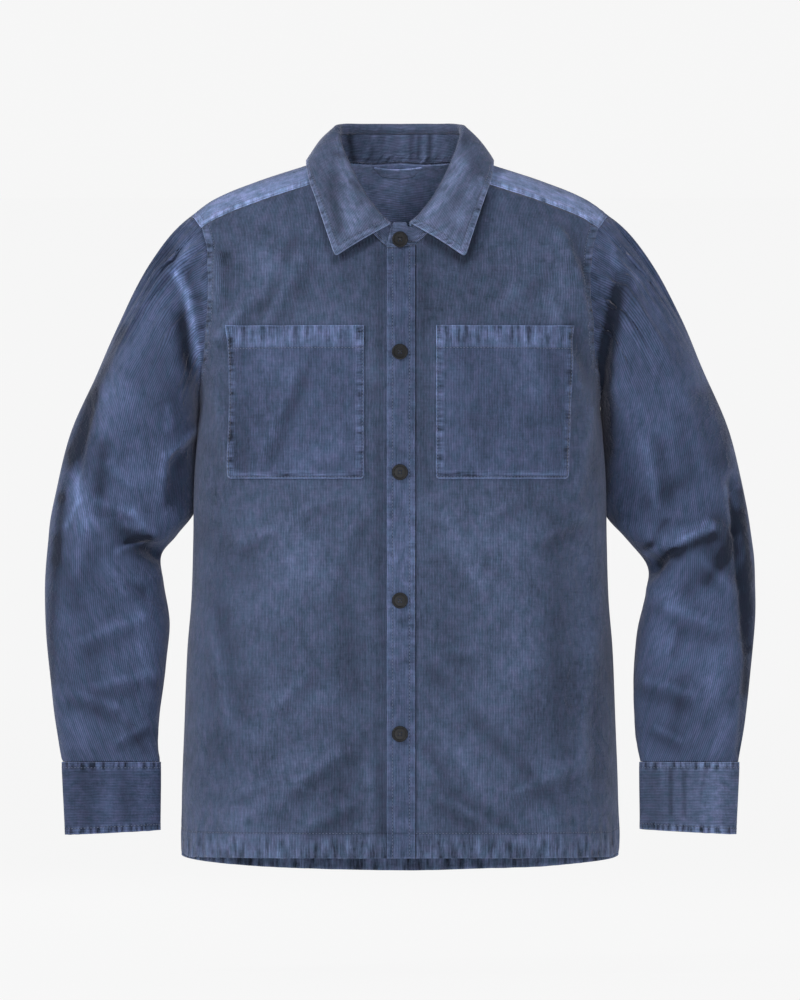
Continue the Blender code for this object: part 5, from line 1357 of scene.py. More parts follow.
@dataclass
class Patch:
    """A piece that lies on the trunk's front: the placket or a pocket."""

    name: str
    inner: float
    outer_low: float
    outer_high: float
    low: float
    proud: float
    thickness: float
    columns: int
    rows: int
    high: Optional[float] = None
    puff: float = 0.0

    def build(self) -> ClothPiece:
        """Shape the patch on the front's own form, moved out."""
        across_share = np.linspace(0, 1, self.columns)[:, None]
        rise = np.linspace(0, 1, self.rows)[None, :]
        outer = mix(self.outer_low, self.outer_high, rise)
        across = mix(self.inner, outer, across_share)
        high = self.high if self.high is not None else NECK_FRONT.read(across[:, -1:])
        height = np.broadcast_to(mix(self.low, high, rise), across.shape)
        bare = BodyForm.point(across, height, -1.0)
        normals = grid_normals(bare, (0.0, -1.0, 0.0))
        around = np.minimum(np.minimum(across_share, 1 - across_share), np.minimum(rise, 1 - rise))
        lift = body_lift(bare, Side.FRONT) + self.proud + self.puff * ease(around / 0.28)
        points = bare + normals * lift[..., None]
        edges = (Edge.FIRST_COLUMN, Edge.LAST_COLUMN)
        nearest = np.minimum(lengths_from(points, edges[0]), lengths_from(points, edges[1]))
        pucker = PATCH_SIDE_PUCKER.ripple(height, 6.0 + across[0, 0] * 40, nearest)
        ends = np.minimum(lengths_from(points, Edge.FIRST_ROW), lengths_from(points, Edge.LAST_ROW))
        pucker = pucker + PATCH_END_PUCKER.ripple(across, 3.0 + across[0, 0] * 30, ends)
        points = points + normals * (pucker * ease(np.minimum(nearest, ends) / 0.003))[..., None]
        cloth_map = np.stack([across, height], axis=-1)
        return ClothPiece(self.name, points, grid_normals(points, normals), cloth_map,
                          thickness=self.thickness,
                          tone=body_tone(bare, Side.FRONT) + self.bands(across, height))

    def bands(self, across: Array, height: Array) -> Array:
        """Soft uneven bars of tone on a pocket's hem, or along the placket."""
        if self.high is None:
            return 0.20 * np.exp(-((height + 0.445) / 0.085) ** 2) + 0.07 * wander(height * 0.5, 2.0)
        # A pocket's hem band is paler, with uneven bars of painted light and shade from its puckers.
        return (0.17 + 0.11 * wander(across * 0.36, 4.0)) * (height > self.high - 0.0245)


@dataclass
class Sleeve:
    """One sleeve, from the armhole to the cuff's seam, closed along the underarm."""

    hand: int
    sections: Table
    front_folds: tuple[Crease, ...]
    back_folds: tuple[Crease, ...]
    shade_and_fade_strokes: tuple[ShadeAndFadeStroke, ...]
    columns: int = 200
    cap_rows: int = 42
    rings: int = 158
    squareness: float = 2.2
    tension: float = 0.45
    contrast: float = 1.3
    cap_steps: tuple[float, ...] = (0.0, 0.10, 0.24, 0.42, 0.62, 0.82, 1.0)

    def section(self, at: Array, angle: Array) -> Array:
        """Points of the sleeve's bare form.

        Args:
            at: Places along the sections.
            angle: Angles round them, 0 outside and a quarter turn at the front.

        Returns:
            The points.
        """
        inner_x, inner_z, outer_x, outer_z, mid_y, half = (self.sections.read(at, k) for k in range(1, 7))
        cosine, sine = np.cos(angle), np.sin(angle)
        wide = np.sign(cosine) * np.abs(cosine) ** (2 / self.squareness)
        deep = np.sign(sine) * np.abs(sine) ** (2 / self.squareness)
        x = 0.5 * (inner_x + outer_x) + 0.5 * (outer_x - inner_x) * wide
        z = 0.5 * (inner_z + outer_z) + 0.5 * (outer_z - inner_z) * wide
        return np.stack([self.hand * x, mid_y - half * deep, z], axis=-1)

    def build(self, name: str, front: ClothPiece, back: ClothPiece, yoke: ClothPiece) -> ClothPiece:
        """Shape the sleeve's shell on the armhole of the panels.

        Args:
            name: The piece's name.
            front: The front on this side.
            back: The back.
            yoke: The yoke.

        Returns:
            The shaped sleeve.
        """
        loop, outward = self.armhole(front, back, yoke)
        reach = reach_along(loop)
        top = int(np.argmax(loop[:, 2]))
        angles = np.where(reach <= reach[top], math.pi * (1 - reach / reach[top]),
                          -math.pi * (reach - reach[top]) / (reach[-1] - reach[top]))
        run = np.gradient(loop, axis=0)
        away = unit(np.cross(outward, run)) * -self.hand
        away[0] = away[-1] = (0.0, 0.0, 1.0)
        first = self.section(np.zeros_like(angles), angles)
        ahead = self.section(np.full_like(angles, 0.2), angles)
        down = unit(ahead - first)
        t = np.linspace(0, 1, self.cap_rows, endpoint=False)[None, :, None]
        span = np.linalg.norm(first - loop, axis=1)[:, None, None] * self.tension * 2
        cap = loop[:, None] * (1 + 2 * t) * (1 - t) ** 2 + first[:, None] * t * t * (3 - 2 * t)
        cap = cap + away[:, None] * span * t * (1 - t) ** 2 - down[:, None] * span * t * t * (1 - t)
        at = np.linspace(0, len(self.sections.rows) - 1, self.rings)
        tube = self.section(*np.broadcast_arrays(at[None, :], angles[:, None]))
        bare = np.concatenate([cap, tube], axis=1)
        centre = bare.mean(axis=0, keepdims=True)
        normals = grid_normals(bare, unit(bare - centre), closed=True)
        capped = np.interp(t[0, :, 0], self.cap_steps, np.arange(7))
        coarse = np.concatenate([capped, np.full(self.rings, 9.0)])
        x, z = bare[..., 0], bare[..., 2]
        end = float(self.sections.rows[-1][2])
        fade = ease(np.abs(normals[..., 1]) / 0.5) * ease(coarse / 4)[None, :] * ease((z - end) / 0.060)
        quiet = ease(np.abs(normals[..., 1]) / 0.3) * ease(coarse / 3)[None, :] * ease((z - end) / 0.012)
        lift = np.zeros_like(x)
        for folds, facing in ((self.front_folds, normals[..., 1] < 0),
                              (self.back_folds, normals[..., 1] >= 0)):
            large = tuple(c for c in folds if c.tuck == 0)
            small = tuple(c for c in folds if c.tuck)
            lift += facing * (lift_of(large, x, z) * fade + CREASE_STRENGTH * lift_of(small, x, z) * quiet)
        around = arc_round(bare, top)
        below = around[:, self.cap_rows:self.cap_rows + 1]
        around[:, :self.cap_rows] = mix(below, around[:, :self.cap_rows], 0.25)
        stir = unrest(around, z, 3.0 * self.hand)
        lift += 0.0010 * stir * ease(coarse / 4)[None, :] * ease((z - end) / 0.02)
        wrist = ease(1 - (z - end) / 0.045) * ease((z - end) / 0.004)
        lift += 0.0011 * wander(around, 2.0 * self.hand) * wrist
        points = bare + normals * lift[..., None]
        cap_away = lengths_from(points, Edge.FIRST_ROW)
        pucker = SLEEVE_PUCKER.ripple(around, 5.0, cap_away) * ease(cap_away / 0.003)
        points = points + normals * pucker[..., None]
        points[-1] = points[0]
        cloth_map = np.stack([around, cap_away], axis=-1)
        piece = ClothPiece(name, points, grid_normals(points, normals, closed=True), cloth_map, closed=True)
        # Painted light and shade of the folds and strokes, and their fading, in front and behind, made
        # stronger by the contrast.
        facing = ease(0.5 - normals[..., 1] / 0.3)
        ahead = tone_of(self.front_folds, self.shade_and_fade_strokes, x, z)
        behind = tone_of(self.back_folds, (), x, z) + tone_of((), SLEEVE_BACK_SHADE_AND_FADE, np.abs(x), z)
        piece.tone = self.contrast * mix(behind, ahead, facing) * ease(coarse / 2)[None, :]
        piece.hemmed = (Edge.FIRST_ROW,)
        return piece

    def armhole(self, front: ClothPiece, back: ClothPiece, yoke: ClothPiece) -> tuple[Array, Array]:
        """The armhole's line on the panels, from the underarm up the front and down the back."""
        f_points, f_normals = front.points[-1], front.normals[-1]
        keep = f_points[:, 2] > UNDERARM
        arm = Yoke().arm_steps
        y_points, y_normals = yoke.points[:, -1], yoke.normals[:, -1]
        part = slice(1, arm + 1) if self.hand < 0 else slice(-2, -arm - 2, -1)
        column = 0 if self.hand < 0 else -1
        b_points, b_normals = back.points[column][::-1], back.normals[column][::-1]
        b_keep = b_points[:, 2] > UNDERARM
        start = np.array([[self.hand * ARMHOLE.rows[0][1], 0.0, UNDERARM]])
        side = np.array([[float(self.hand), 0.0, 0.0]])
        loop = np.concatenate([start, f_points[keep], y_points[part], b_points[b_keep][1:], start])
        out = np.concatenate([side, f_normals[keep], y_normals[part], b_normals[b_keep][1:], side])
        reach = reach_along(loop)
        even = np.linspace(0, reach[-1], self.columns + 1)
        loop, out = place_on(loop, reach, even), unit(place_on(out, reach, even))
        centre = loop.mean(axis=0)
        run = np.gradient(loop, axis=0)
        away = unit(np.cross(out, run))
        away *= np.sign(np.sum(away * (centre - loop), axis=-1, keepdims=True))
        moved = loop + away * SEAM_GAP
        moved[0] = moved[-1] = start[0] + np.array([0.0, 0.0, SEAM_GAP])
        return moved, out


def arc_round(points: Array, top: int) -> Array:
    """Signed distance of each point round a tube from its outer line."""
    steps = np.linalg.norm(np.diff(points, axis=0), axis=-1)
    run = np.concatenate([np.zeros((1, points.shape[1])), np.cumsum(steps, axis=0)])
    return run - run[top]


@dataclass
class Cuff:
    """A cuff's band, which laps over its own end behind and is held by a button."""

    hand: int
    top: tuple[float, ...]
    low: tuple[float, ...]
    columns: int = 150
    rows: int = 30
    thickness: float = 0.0026
    proud: float = 0.0006
    start: float = math.radians(72)
    lap: float = math.radians(46)
    lap_ease: float = math.radians(40)

    def section(self, share: Array, angle: Array) -> Array:
        """Points of the cuff's bare form, by share down it and angle round it."""
        pairs = zip(self.top, self.low)
        inner_x, outer_x, inner_z, outer_z, mid_y, half = (mix(a, b, share) for a, b in pairs)
        cosine, sine = np.cos(angle), np.sin(angle)
        x = 0.5 * (inner_x + outer_x) + 0.5 * (outer_x - inner_x) * cosine
        z = 0.5 * (inner_z + outer_z) + 0.5 * (outer_z - inner_z) * cosine
        return np.stack([self.hand * x, mid_y - half * sine, z], axis=-1)

    def build(self, name: str) -> ClothPiece:
        """Shape the cuff's shell."""
        turn = np.linspace(0, 2 * math.pi + self.lap, self.columns)
        angle = (-self.start - turn)[:, None]
        share = np.linspace(0, 1, self.rows)[None, :]
        bare = self.section(*np.broadcast_arrays(share, angle))
        centre = bare.mean(axis=0, keepdims=True)
        normals = grid_normals(bare, unit(bare - centre))
        under = 1 - ease(((2 * math.pi + self.lap) - turn - self.lap) / self.lap_ease)
        lift = self.proud - under * (self.thickness + 2 * SEAM_GAP)
        points = bare + normals * lift[:, None, None]
        along = lengths_from(points, Edge.FIRST_COLUMN)
        edge = np.minimum(lengths_from(points, Edge.FIRST_ROW), lengths_from(points, Edge.LAST_ROW))
        ripple = CUFF_PUCKER.ripple(along, 8.0 * self.hand, edge) * ease(edge / 0.002)
        ripple = ripple + 0.0005 * unrest(along, bare[..., 2], 4.0) * ease(edge / 0.01)
        points = points + normals * (ripple * (1 - under)[:, None])[..., None]
        points = round_corner(points, Edge.FIRST_COLUMN, Edge.LAST_ROW, 0.006)
        cloth_map = np.stack([lengths_from(points, Edge.FIRST_ROW), along], axis=-1)
        # The cuffs' painted light and shade, and their fading.
        tone = tone_of((), CUFF_SHADE_AND_FADE, bare[..., 0], bare[..., 2])
        return ClothPiece(name, points, grid_normals(points, normals), cloth_map, thickness=self.thickness,
                          tone=tone, stitched=(Edge.FIRST_ROW, Edge.LAST_ROW, Edge.FIRST_COLUMN))


class StandLine(NamedTuple):
    """One upright line of the stand: its foot, depth under the lap, lap row if any, foot's lift, and hand."""

    foot: Array
    under: float
    lap: Optional["LapRow"]
    lift: float
    hand: int


class LapRow(NamedTuple):
    """One line of the stand's lapping end: its foot, and its top's place and height."""

    foot_x: float
    top_x: float
    top_z: float


@dataclass
class Collar:
    """The collar's stand and its leaf, which turns over the stand's upper edge."""

    stand_thickness: float = 0.0022
    leaf_thickness: float = 0.0024
    roll_radius: float = 0.0032
    contrast: float = 2.1
    leaf_end: float = 0.0105
    lap_y: float = -0.0735
    stand_rows: int = 16
    fall_rows: int = 26
    laps: tuple[LapRow, ...] = (
        LapRow(0.0085, 0.0088, -0.0682), LapRow(0.0040, 0.0062, -0.0632), LapRow(-0.0040, -0.0030, -0.0630),
        LapRow(-0.0100, -0.0072, -0.0640), LapRow(-0.0145, -0.0100, -0.0690),
    )

    def feet(self) -> list[StandLine]:
        """Lines of the stand, from the right end round to the left one.

        Returns:
            The stand's lines in order.
        """
        under = self.stand_thickness + 2 * SEAM_GAP
        lines = []
        for row in reversed(self.dense(self.laps[:4])):
            lines.append(StandLine(self.front_foot(row.foot_x, -1), under, row, -PLACKET_DIP, -1))
        lines.append(StandLine(self.front_foot(self.leaf_end, -1), under, None, -PLACKET_DIP, -1))
        lines.append(StandLine(self.front_foot(0.0150, -1), under * 0.6, None, -PLACKET_DIP, -1))
        for across in np.linspace(0.0235, NECK_END, 26):
            lines.append(StandLine(self.front_foot(across, -1), 0.0, None, 0.0, -1))
        for share in np.linspace(0, 1, 113)[1:-1]:
            across, turn = Yoke.neck_place(np.array(share))
            lines.append(StandLine(BodyForm.over(across, turn), 0.0, None, 0.0, -1 if share < 0.5 else 1))
        for across in np.linspace(NECK_END, 0.0162, 28):
            lines.append(StandLine(self.front_foot(across, 1), 0.0, None, 0.0, 1))
        lines.append(StandLine(self.front_foot(self.leaf_end, 1), 0.0, None, PLACKET_PROUD, 1))
        for row in self.dense(self.laps):
            lines.append(StandLine(self.front_foot(row.foot_x, 1), 0.0, row, PLACKET_PROUD, 1))
        return lines

    @staticmethod
    def dense(rows: Sequence[LapRow]) -> list[LapRow]:
        """More lap rows between the given ones."""
        table = np.array(rows)
        place = np.linspace(0, len(rows) - 1, 3 * len(rows))
        return [LapRow(*(float(np.interp(p, np.arange(len(rows)),
                                         table[:, k])) for k in range(3))) for p in place]

    @staticmethod
    def front_foot(across: float, hand: int) -> Array:
        """A point of a front's neckline."""
        return BodyForm.point(np.array(hand * across), NECK_FRONT.read(np.array(across)), -1.0)

    def build(self) -> tuple[ClothPiece, ClothPiece]:
        """Shape the stand's and the leaf's shells.

        Returns:
            The stand and the leaf.
        """
        lines = self.feet()
        feet = np.array([line.foot for line in lines])
        hands = np.array([line.hand for line in lines], dtype=float)
        free = np.array([line.lap is None for line in lines])
        first, last = int(np.argmax(free)), len(lines) - 1 - int(np.argmax(free[::-1]))
        reach = reach_along(feet)
        reach = np.clip(reach, reach[first], reach[last]) - reach[first]
        share = 1 - np.abs(2 * reach / reach[last] - 1)
        out_body = self.foot_normals(feet)
        roll = np.stack([hands * self.read(share, 1), self.read(share, 2), self.read(share, 3)], axis=-1)
        tip = np.stack([hands * self.read(share, 4), self.read(share, 5), self.read(share, 6)], axis=-1)
        after, before = share + 0.02, share - 0.02
        ahead = np.stack([self.read(after, k) - self.read(before, k) for k in (1, 2, 3)], axis=-1)
        ahead[:, 0] *= hands
        ahead[share > 0.985] = (-1.0, 0.0, 0.0)
        leg = self.read(share, 7)
        for k, line in enumerate(lines):
            if line.lap:
                roll[k] = (line.hand * line.lap.top_x, self.lap_y, line.lap.top_z)
                leg[k] = 0.0
        feet = feet + out_body * np.array([line.lift for line in lines])[:, None]
        up = unit(roll - feet)
        out = unit(np.cross(ahead, up))
        radial = feet * (1.0, 1.0, 0.0)
        out *= np.sign(np.sum(out * (out_body + unit(radial)), axis=-1, keepdims=True))
        for k, line in enumerate(lines):
            if line.lap:
                out[k] = (0.0, -1.0, 0.0)
        out = unit(out - up * np.sum(out * up, axis=-1, keepdims=True))
        depth = np.array([line.under for line in lines])[:, None]
        top = roll - up * leg[:, None]
        foot = feet + up * SEAM_GAP
        rise = np.linspace(0, 1, self.stand_rows)[None, :, None]
        sink = (out * depth)[:, None] * ease(rise * 1.5)
        stand = mix(foot[:, None], (top + out * self.stand_thickness / 2)[:, None], rise) - sink
        edges = (Edge.FIRST_ROW, Edge.FIRST_COLUMN)
        stand_map = np.stack([lengths_from(stand, edge) for edge in edges], axis=-1)
        # The stand's painted shadow and painted light, and its fading, kept to the part behind the middle
        # plane.
        tone = tone_of((), STAND_SHADE_AND_FADE, stand[..., 0], stand[..., 2]) * (stand[..., 1] > 0)
        outward = np.repeat(out[:, None], self.stand_rows, 1)
        stand_piece = ClothPiece("collar_stand", stand, grid_normals(stand, outward), stand_map,
                                 thickness=self.stand_thickness, tone=tone,
                                 stitched=(Edge.FIRST_ROW, Edge.FIRST_COLUMN, Edge.LAST_COLUMN))
        keep = slice(first, last + 1)
        leaf = self.leaf(top[keep] - (out * depth)[keep], roll[keep] - (out * depth)[keep], up[keep],
                         out[keep], tip[keep], self.read(share, 8)[keep])
        return stand_piece, leaf

    @staticmethod
    def read(share: Array, column: int) -> Array:
        """One column of the collar's table, held at its ends."""
        return COLLAR.read(np.clip(share, 0, 1), column)

    @staticmethod
    def foot_normals(feet: Array) -> Array:
        """Outward directions of the trunk's form at the stand's feet."""
        x, z, side = feet[:, 0], feet[:, 2], np.sign(feet[:, 1])
        small = 0.002
        turn = side * BodyForm.turn_at(x, z)
        along = BodyForm.over(x + small, turn) - BodyForm.over(x - small, turn)
        back = BodyForm.over(x, turn + small) - BodyForm.over(x, turn - small)
        return unit(np.cross(along, back))

    def leaf(self, top: Array, roll: Array, up: Array, out: Array, tip: Array, bulge: Array) -> ClothPiece:
        """The leaf's shell: up its short leg, over the roll and down to its free edge."""
        centre = roll - up * self.roll_radius + out * self.roll_radius
        rows = [top + up * 0.0006]
        for angle in np.radians(np.linspace(180, 15, 12)):
            rows.append(centre + (out * math.cos(angle) + up * math.sin(angle)) * self.roll_radius)
        start = rows[-1]
        crown = unit(out + up * 0.5)
        for share in np.linspace(0, 1, self.fall_rows)[1:]:
            rows.append(mix(start, tip, share) + crown * (bulge * math.sin(math.pi * share))[:, None])
        middle = np.stack(rows, axis=1)
        outward = np.repeat(out[:, None], middle.shape[1], 1)
        outward[:, :4] *= -1.0
        normals = grid_normals(middle, outward)
        points = middle + normals * self.leaf_thickness / 2
        for end in (Edge.FIRST_COLUMN, Edge.LAST_COLUMN):
            points = round_corner(points, end, Edge.LAST_ROW, 0.0045)
        along = lengths_from(points, Edge.FIRST_COLUMN)
        away = np.minimum(lengths_from(points, Edge.LAST_ROW),
                          np.minimum(along, lengths_from(points, Edge.LAST_COLUMN)))
        ripple = COLLAR_PUCKER.ripple(along, 12.0, away)
        ripple = (ripple + 0.0007 * unrest(along, away * 2.0, 6.0)) * ease(away / 0.004)
        ripple *= ease(lengths_from(points, Edge.FIRST_ROW) / 0.02)
        fallen = ease(away / 0.006) * ease((lengths_from(points, Edge.FIRST_ROW) - 0.012) / 0.008)
        ripple = ripple + lift_of(COLLAR_CREASES, points[..., 0], points[..., 2]) * fallen
        # The leaf's painted light and shade of its creases and strokes, and its fading, made stronger by the
        # contrast.
        tone = self.contrast * tone_of(COLLAR_CREASES, COLLAR_SHADE_AND_FADE, points[..., 0], points[..., 2]) * fallen
        points = points + normals * ripple[..., None]
        cloth_map = np.stack([lengths_from(points, Edge.LAST_ROW), along], axis=-1)
        return ClothPiece("collar", points, grid_normals(points, normals), cloth_map,
                          thickness=self.leaf_thickness, tone=tone,
                          stitched=(Edge.LAST_ROW, Edge.FIRST_COLUMN, Edge.LAST_COLUMN))


@dataclass
class HangerLoop:
    """The cloth loop inside the yoke, by which the shirt hangs."""

    middle: float = -0.0027
    half_top: float = 0.0260
    half_low: float = 0.0170
    top: float = 0.0005
    low: float = -0.0088
    bow: float = 0.0030
    thickness: float = 0.0018

    def build(self) -> ClothPiece:
        """Shape the loop's shell."""
        share = np.linspace(0, 1, 40)[:, None]
        drop = np.linspace(0, 1, 9)[None, :]
        half = mix(self.half_top, self.half_low, drop)
        across = self.middle + mix(-half, half, share)
        height = np.broadcast_to(mix(self.top, self.low, drop), across.shape)
        turn = BodyForm.turn_at(across, height)
        bare = BodyForm.over(across, turn)
        normals = grid_normals(bare, (0.0, 0.7, 0.7))
        off = CLOTH + SEAM_GAP + self.bow * np.sin(math.pi * share)
        points = bare - normals * off[..., None]
        cloth_map = np.stack([height, across], axis=-1)
        return ClothPiece("hanger_loop", points, normals, cloth_map, thickness=self.thickness,
                          stitched=(Edge.FIRST_ROW, Edge.LAST_ROW))


@dataclass
class Button:
    """A dished four-hole button with a rolled rim, sewn on with crossed thread."""

    name: str
    out: Vector
    radius: float = 0.0085
    thick: float = 0.0034
    rim: float = 0.0017
    dish: float = 0.0010
    hole: float = 0.00085
    hole_out: float = 0.0020

    def profile(self) -> list[tuple[float, float]]:
        """Half of the button's section, from the middle of its back to the middle of its face."""
        side, floor = self.radius - 0.0008, self.thick - self.dish
        line = [(0.0, 0.0), (side - 0.0012, 0.0), (side, 0.0003)]
        for angle in np.radians(np.linspace(-50, 90, 6)):
            line.append((side + 0.0008 * math.cos(angle),
                         0.5 * self.thick + 0.0008 + 0.0008 * math.sin(angle)))
        line += [(side - self.rim * 0.35, self.thick), (side - self.rim * 0.75, self.thick - 0.0003),
                 (side - self.rim, floor + 0.0001), (side - self.rim * 1.5, floor), (0.0, floor)]
        return line

    def build(self, material: Material, thread: Material) -> bpy.types.Object:
        """Turn the button, cut its holes and sew it on.

        Args:
            material: The button's finish.
            thread: The thread's finish.

        Returns:
            The button's object.
        """
        blank_data = kept_mesh(turned(self.profile(), 48, 0.000005), self.name + "_blank")
        drill = bmesh.new()
        for spot in self.holes():
            made = bmesh.ops.create_cone(drill, cap_ends=True, segments=14, radius1=self.hole,
                                         radius2=self.hole,
                                         depth=4 * self.thick)
            bmesh.ops.translate(drill, verts=made["verts"], vec=spot)
        blank = bpy.data.objects.new(self.name + "_blank", blank_data)
        holes = bpy.data.objects.new(self.name + "_holes", kept_mesh(drill, self.name + "_drill"))
        for item in (blank, holes):
            bpy.context.scene.collection.objects.link(item)
        cut = blank.modifiers.new("holes", "BOOLEAN")
        cut.operation, cut.object = "DIFFERENCE", holes
        bpy.context.view_layer.update()
        drilled = bpy.data.meshes.new_from_object(blank.evaluated_get(bpy.context.evaluated_depsgraph_get()))
        for item in (blank, holes):
            bpy.data.objects.remove(item, do_unlink=True)
        turn = self.seat()
        drilled.transform(turn)
        drilled.shade_smooth()
        drilled.set_sharp_from_angle(angle=math.radians(38))
        made = place_object(self.name + "_dressed", drilled, material)
        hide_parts(self.name)
        self.sew(turn, thread)
        return made

    def holes(self) -> list[Vector]:
        """Where the four holes are, on the button's own face."""
        turns = [math.radians(45 + 90 * k) for k in range(4)]
        return [Vector((math.cos(t), math.sin(t), 0.0)) * self.hole_out for t in turns]

    def seat(self) -> Matrix:
        """The move from the button's own frame to its place on the cloth."""
        low, high = (Vector(corner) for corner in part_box(self.name))
        middle = (low + high) / 2
        turn = self.out.to_track_quat("Z", "Y").to_matrix().to_4x4()
        return Matrix.Translation(middle - self.out * self.thick / 2) @ turn

    def sew(self, turn: Matrix, thread: Material) -> None:
        """Lay two crossed pairs of thread over the holes."""
        mesh = bmesh.new()
        spots = self.holes()
        floor = self.thick - self.dish
        for a, b, lift in ((0, 2, 0.0002), (1, 3, 0.0006)):
            for beside in (-0.00025, 0.00025):
                run = (spots[b] - spots[a]).normalized()
                across = UP.cross(run)
                middle = (spots[a] + spots[b]) / 2 + across * beside + Vector((0.0, 0.0, floor + lift))
                frame_of = Matrix((run, across, UP)).transposed().to_4x4()
                size = Matrix.Diagonal((self.hole_out * 1.12, 0.00026, 0.00030, 1.0))
                bmesh.ops.create_icosphere(mesh, subdivisions=2, radius=1.0,
                                           matrix=turn @ Matrix.Translation(middle) @ frame_of @ size)
        place_object(self.name + "_thread", kept_mesh(mesh, self.name + "_thread"), thread)


@dataclass
class Studio:
    """Plain pale sweep, soft lights and the photograph's long-lens camera."""

    pixel: float = 0.00106
    frame_height: float = 1000.0
    distance: float = 16.0
    middle_z: float = -0.3572
    plane_y: float = -0.06
    floor: float = -0.86
    back: float = 26.0
    turn: float = 3.0
    wall: float = 5.5

    def camera(self) -> None:
        """Set the camera square to the front, at the photograph's scale."""
        data = bpy.data.cameras.new("photo_camera")
        data.sensor_fit = "VERTICAL"
        data.sensor_height = 36.0
        data.lens = 36.0 * self.distance / (self.frame_height * self.pixel)
        data.clip_end = 90.0
        made = bpy.data.objects.new("photo_camera", data)
        made.location = (0.0, self.plane_y - self.distance, self.middle_z)
        made.rotation_euler = (math.pi / 2, 0.0, 0.0)
        bpy.context.scene.collection.objects.link(made)
        bpy.context.scene.camera = made

    def light(self, name: str, spot: tuple[float, float, float], size: float, watts: float,
              colour: tuple[float, float, float]) -> None:
        """Add one soft square light that faces the shirt."""
        data = bpy.data.lights.new(name, "AREA")
        data.shape, data.size, data.energy, data.color = "SQUARE", size, watts, colour
        made = bpy.data.objects.new(name, data)
        made.location = spot
        made.rotation_euler = (Vector(spot) - Vector((0.0, 0.0, -0.32))).to_track_quat("Z", "Y").to_euler()
        made.visible_camera = False
        bpy.context.scene.collection.objects.link(made)

    def sweep(self) -> None:
        """A round floor that turns up into a plain backdrop on every side."""
        line = [(0.0, self.floor), (self.back - self.turn, self.floor)]
        for k in range(1, 9):
            angle = math.radians(90 * k / 8)
            line.append((self.back - self.turn + self.turn * math.sin(angle),
                         self.floor + self.turn * (1 - math.cos(angle))))
        line.append((self.back, self.wall))
        mesh = turned(line, 72, 0.0001)
        bmesh.ops.reverse_faces(mesh, faces=[face for face in mesh.faces if face.normal.z < -0.5])
        data = kept_mesh(mesh, "studio_sweep")
        g = Graph("studio_paper")
        place = g.node("ShaderNodeTexCoord").outputs["Object"]
        shade = g.blend(g.noise(place, 3.0), (0.024, 0.024, 0.024, 1.0), (0.026, 0.026, 0.026, 1.0))
        g.put(g.shader.inputs["Base Color"], shade)
        g.shader.inputs["Roughness"].default_value = 1.0
        g.shader.inputs["Specular IOR Level"].default_value = 0.0
        g.shader.inputs["Emission Color"].default_value = (1.0, 1.0, 1.0, 1.0)
        g.shader.inputs["Emission Strength"].default_value = 0.91
        data.materials.append(g.material)
        made = bpy.data.objects.new("studio_sweep", data)
        bpy.context.scene.collection.objects.link(made)

    def build(self) -> None:
        """Set up the studio."""
        bpy.context.scene.view_settings.view_transform = "Standard"
        self.camera()
        self.sweep()
        self.light("key", (-2.6, -2.2, 1.9), 0.8, 76.0, (1.0, 0.99, 0.98))
        self.light("fill", (0.4, -3.6, -0.20), 1.2, 36.0, (0.97, 0.98, 1.0))
        self.light("left_rim", (-2.4, 0.9, 0.3), 0.8, 10.0, (0.93, 0.94, 1.0))
        self.light("right_rim", (2.4, 0.9, 0.3), 0.8, 11.0, (0.93, 0.94, 1.0))
        self.light("back_fill", (-1.4, 3.4, 1.3), 1.4, 60.0, (1.0, 1.0, 1.0))
        world = bpy.data.worlds.new("studio_air")
        bpy.context.scene.world = world
        world.use_nodes = True
        world.node_tree.nodes["Background"].inputs[0].default_value = (0.95, 0.97, 1.0, 1.0)
        world.node_tree.nodes["Background"].inputs[1].default_value = 0.30


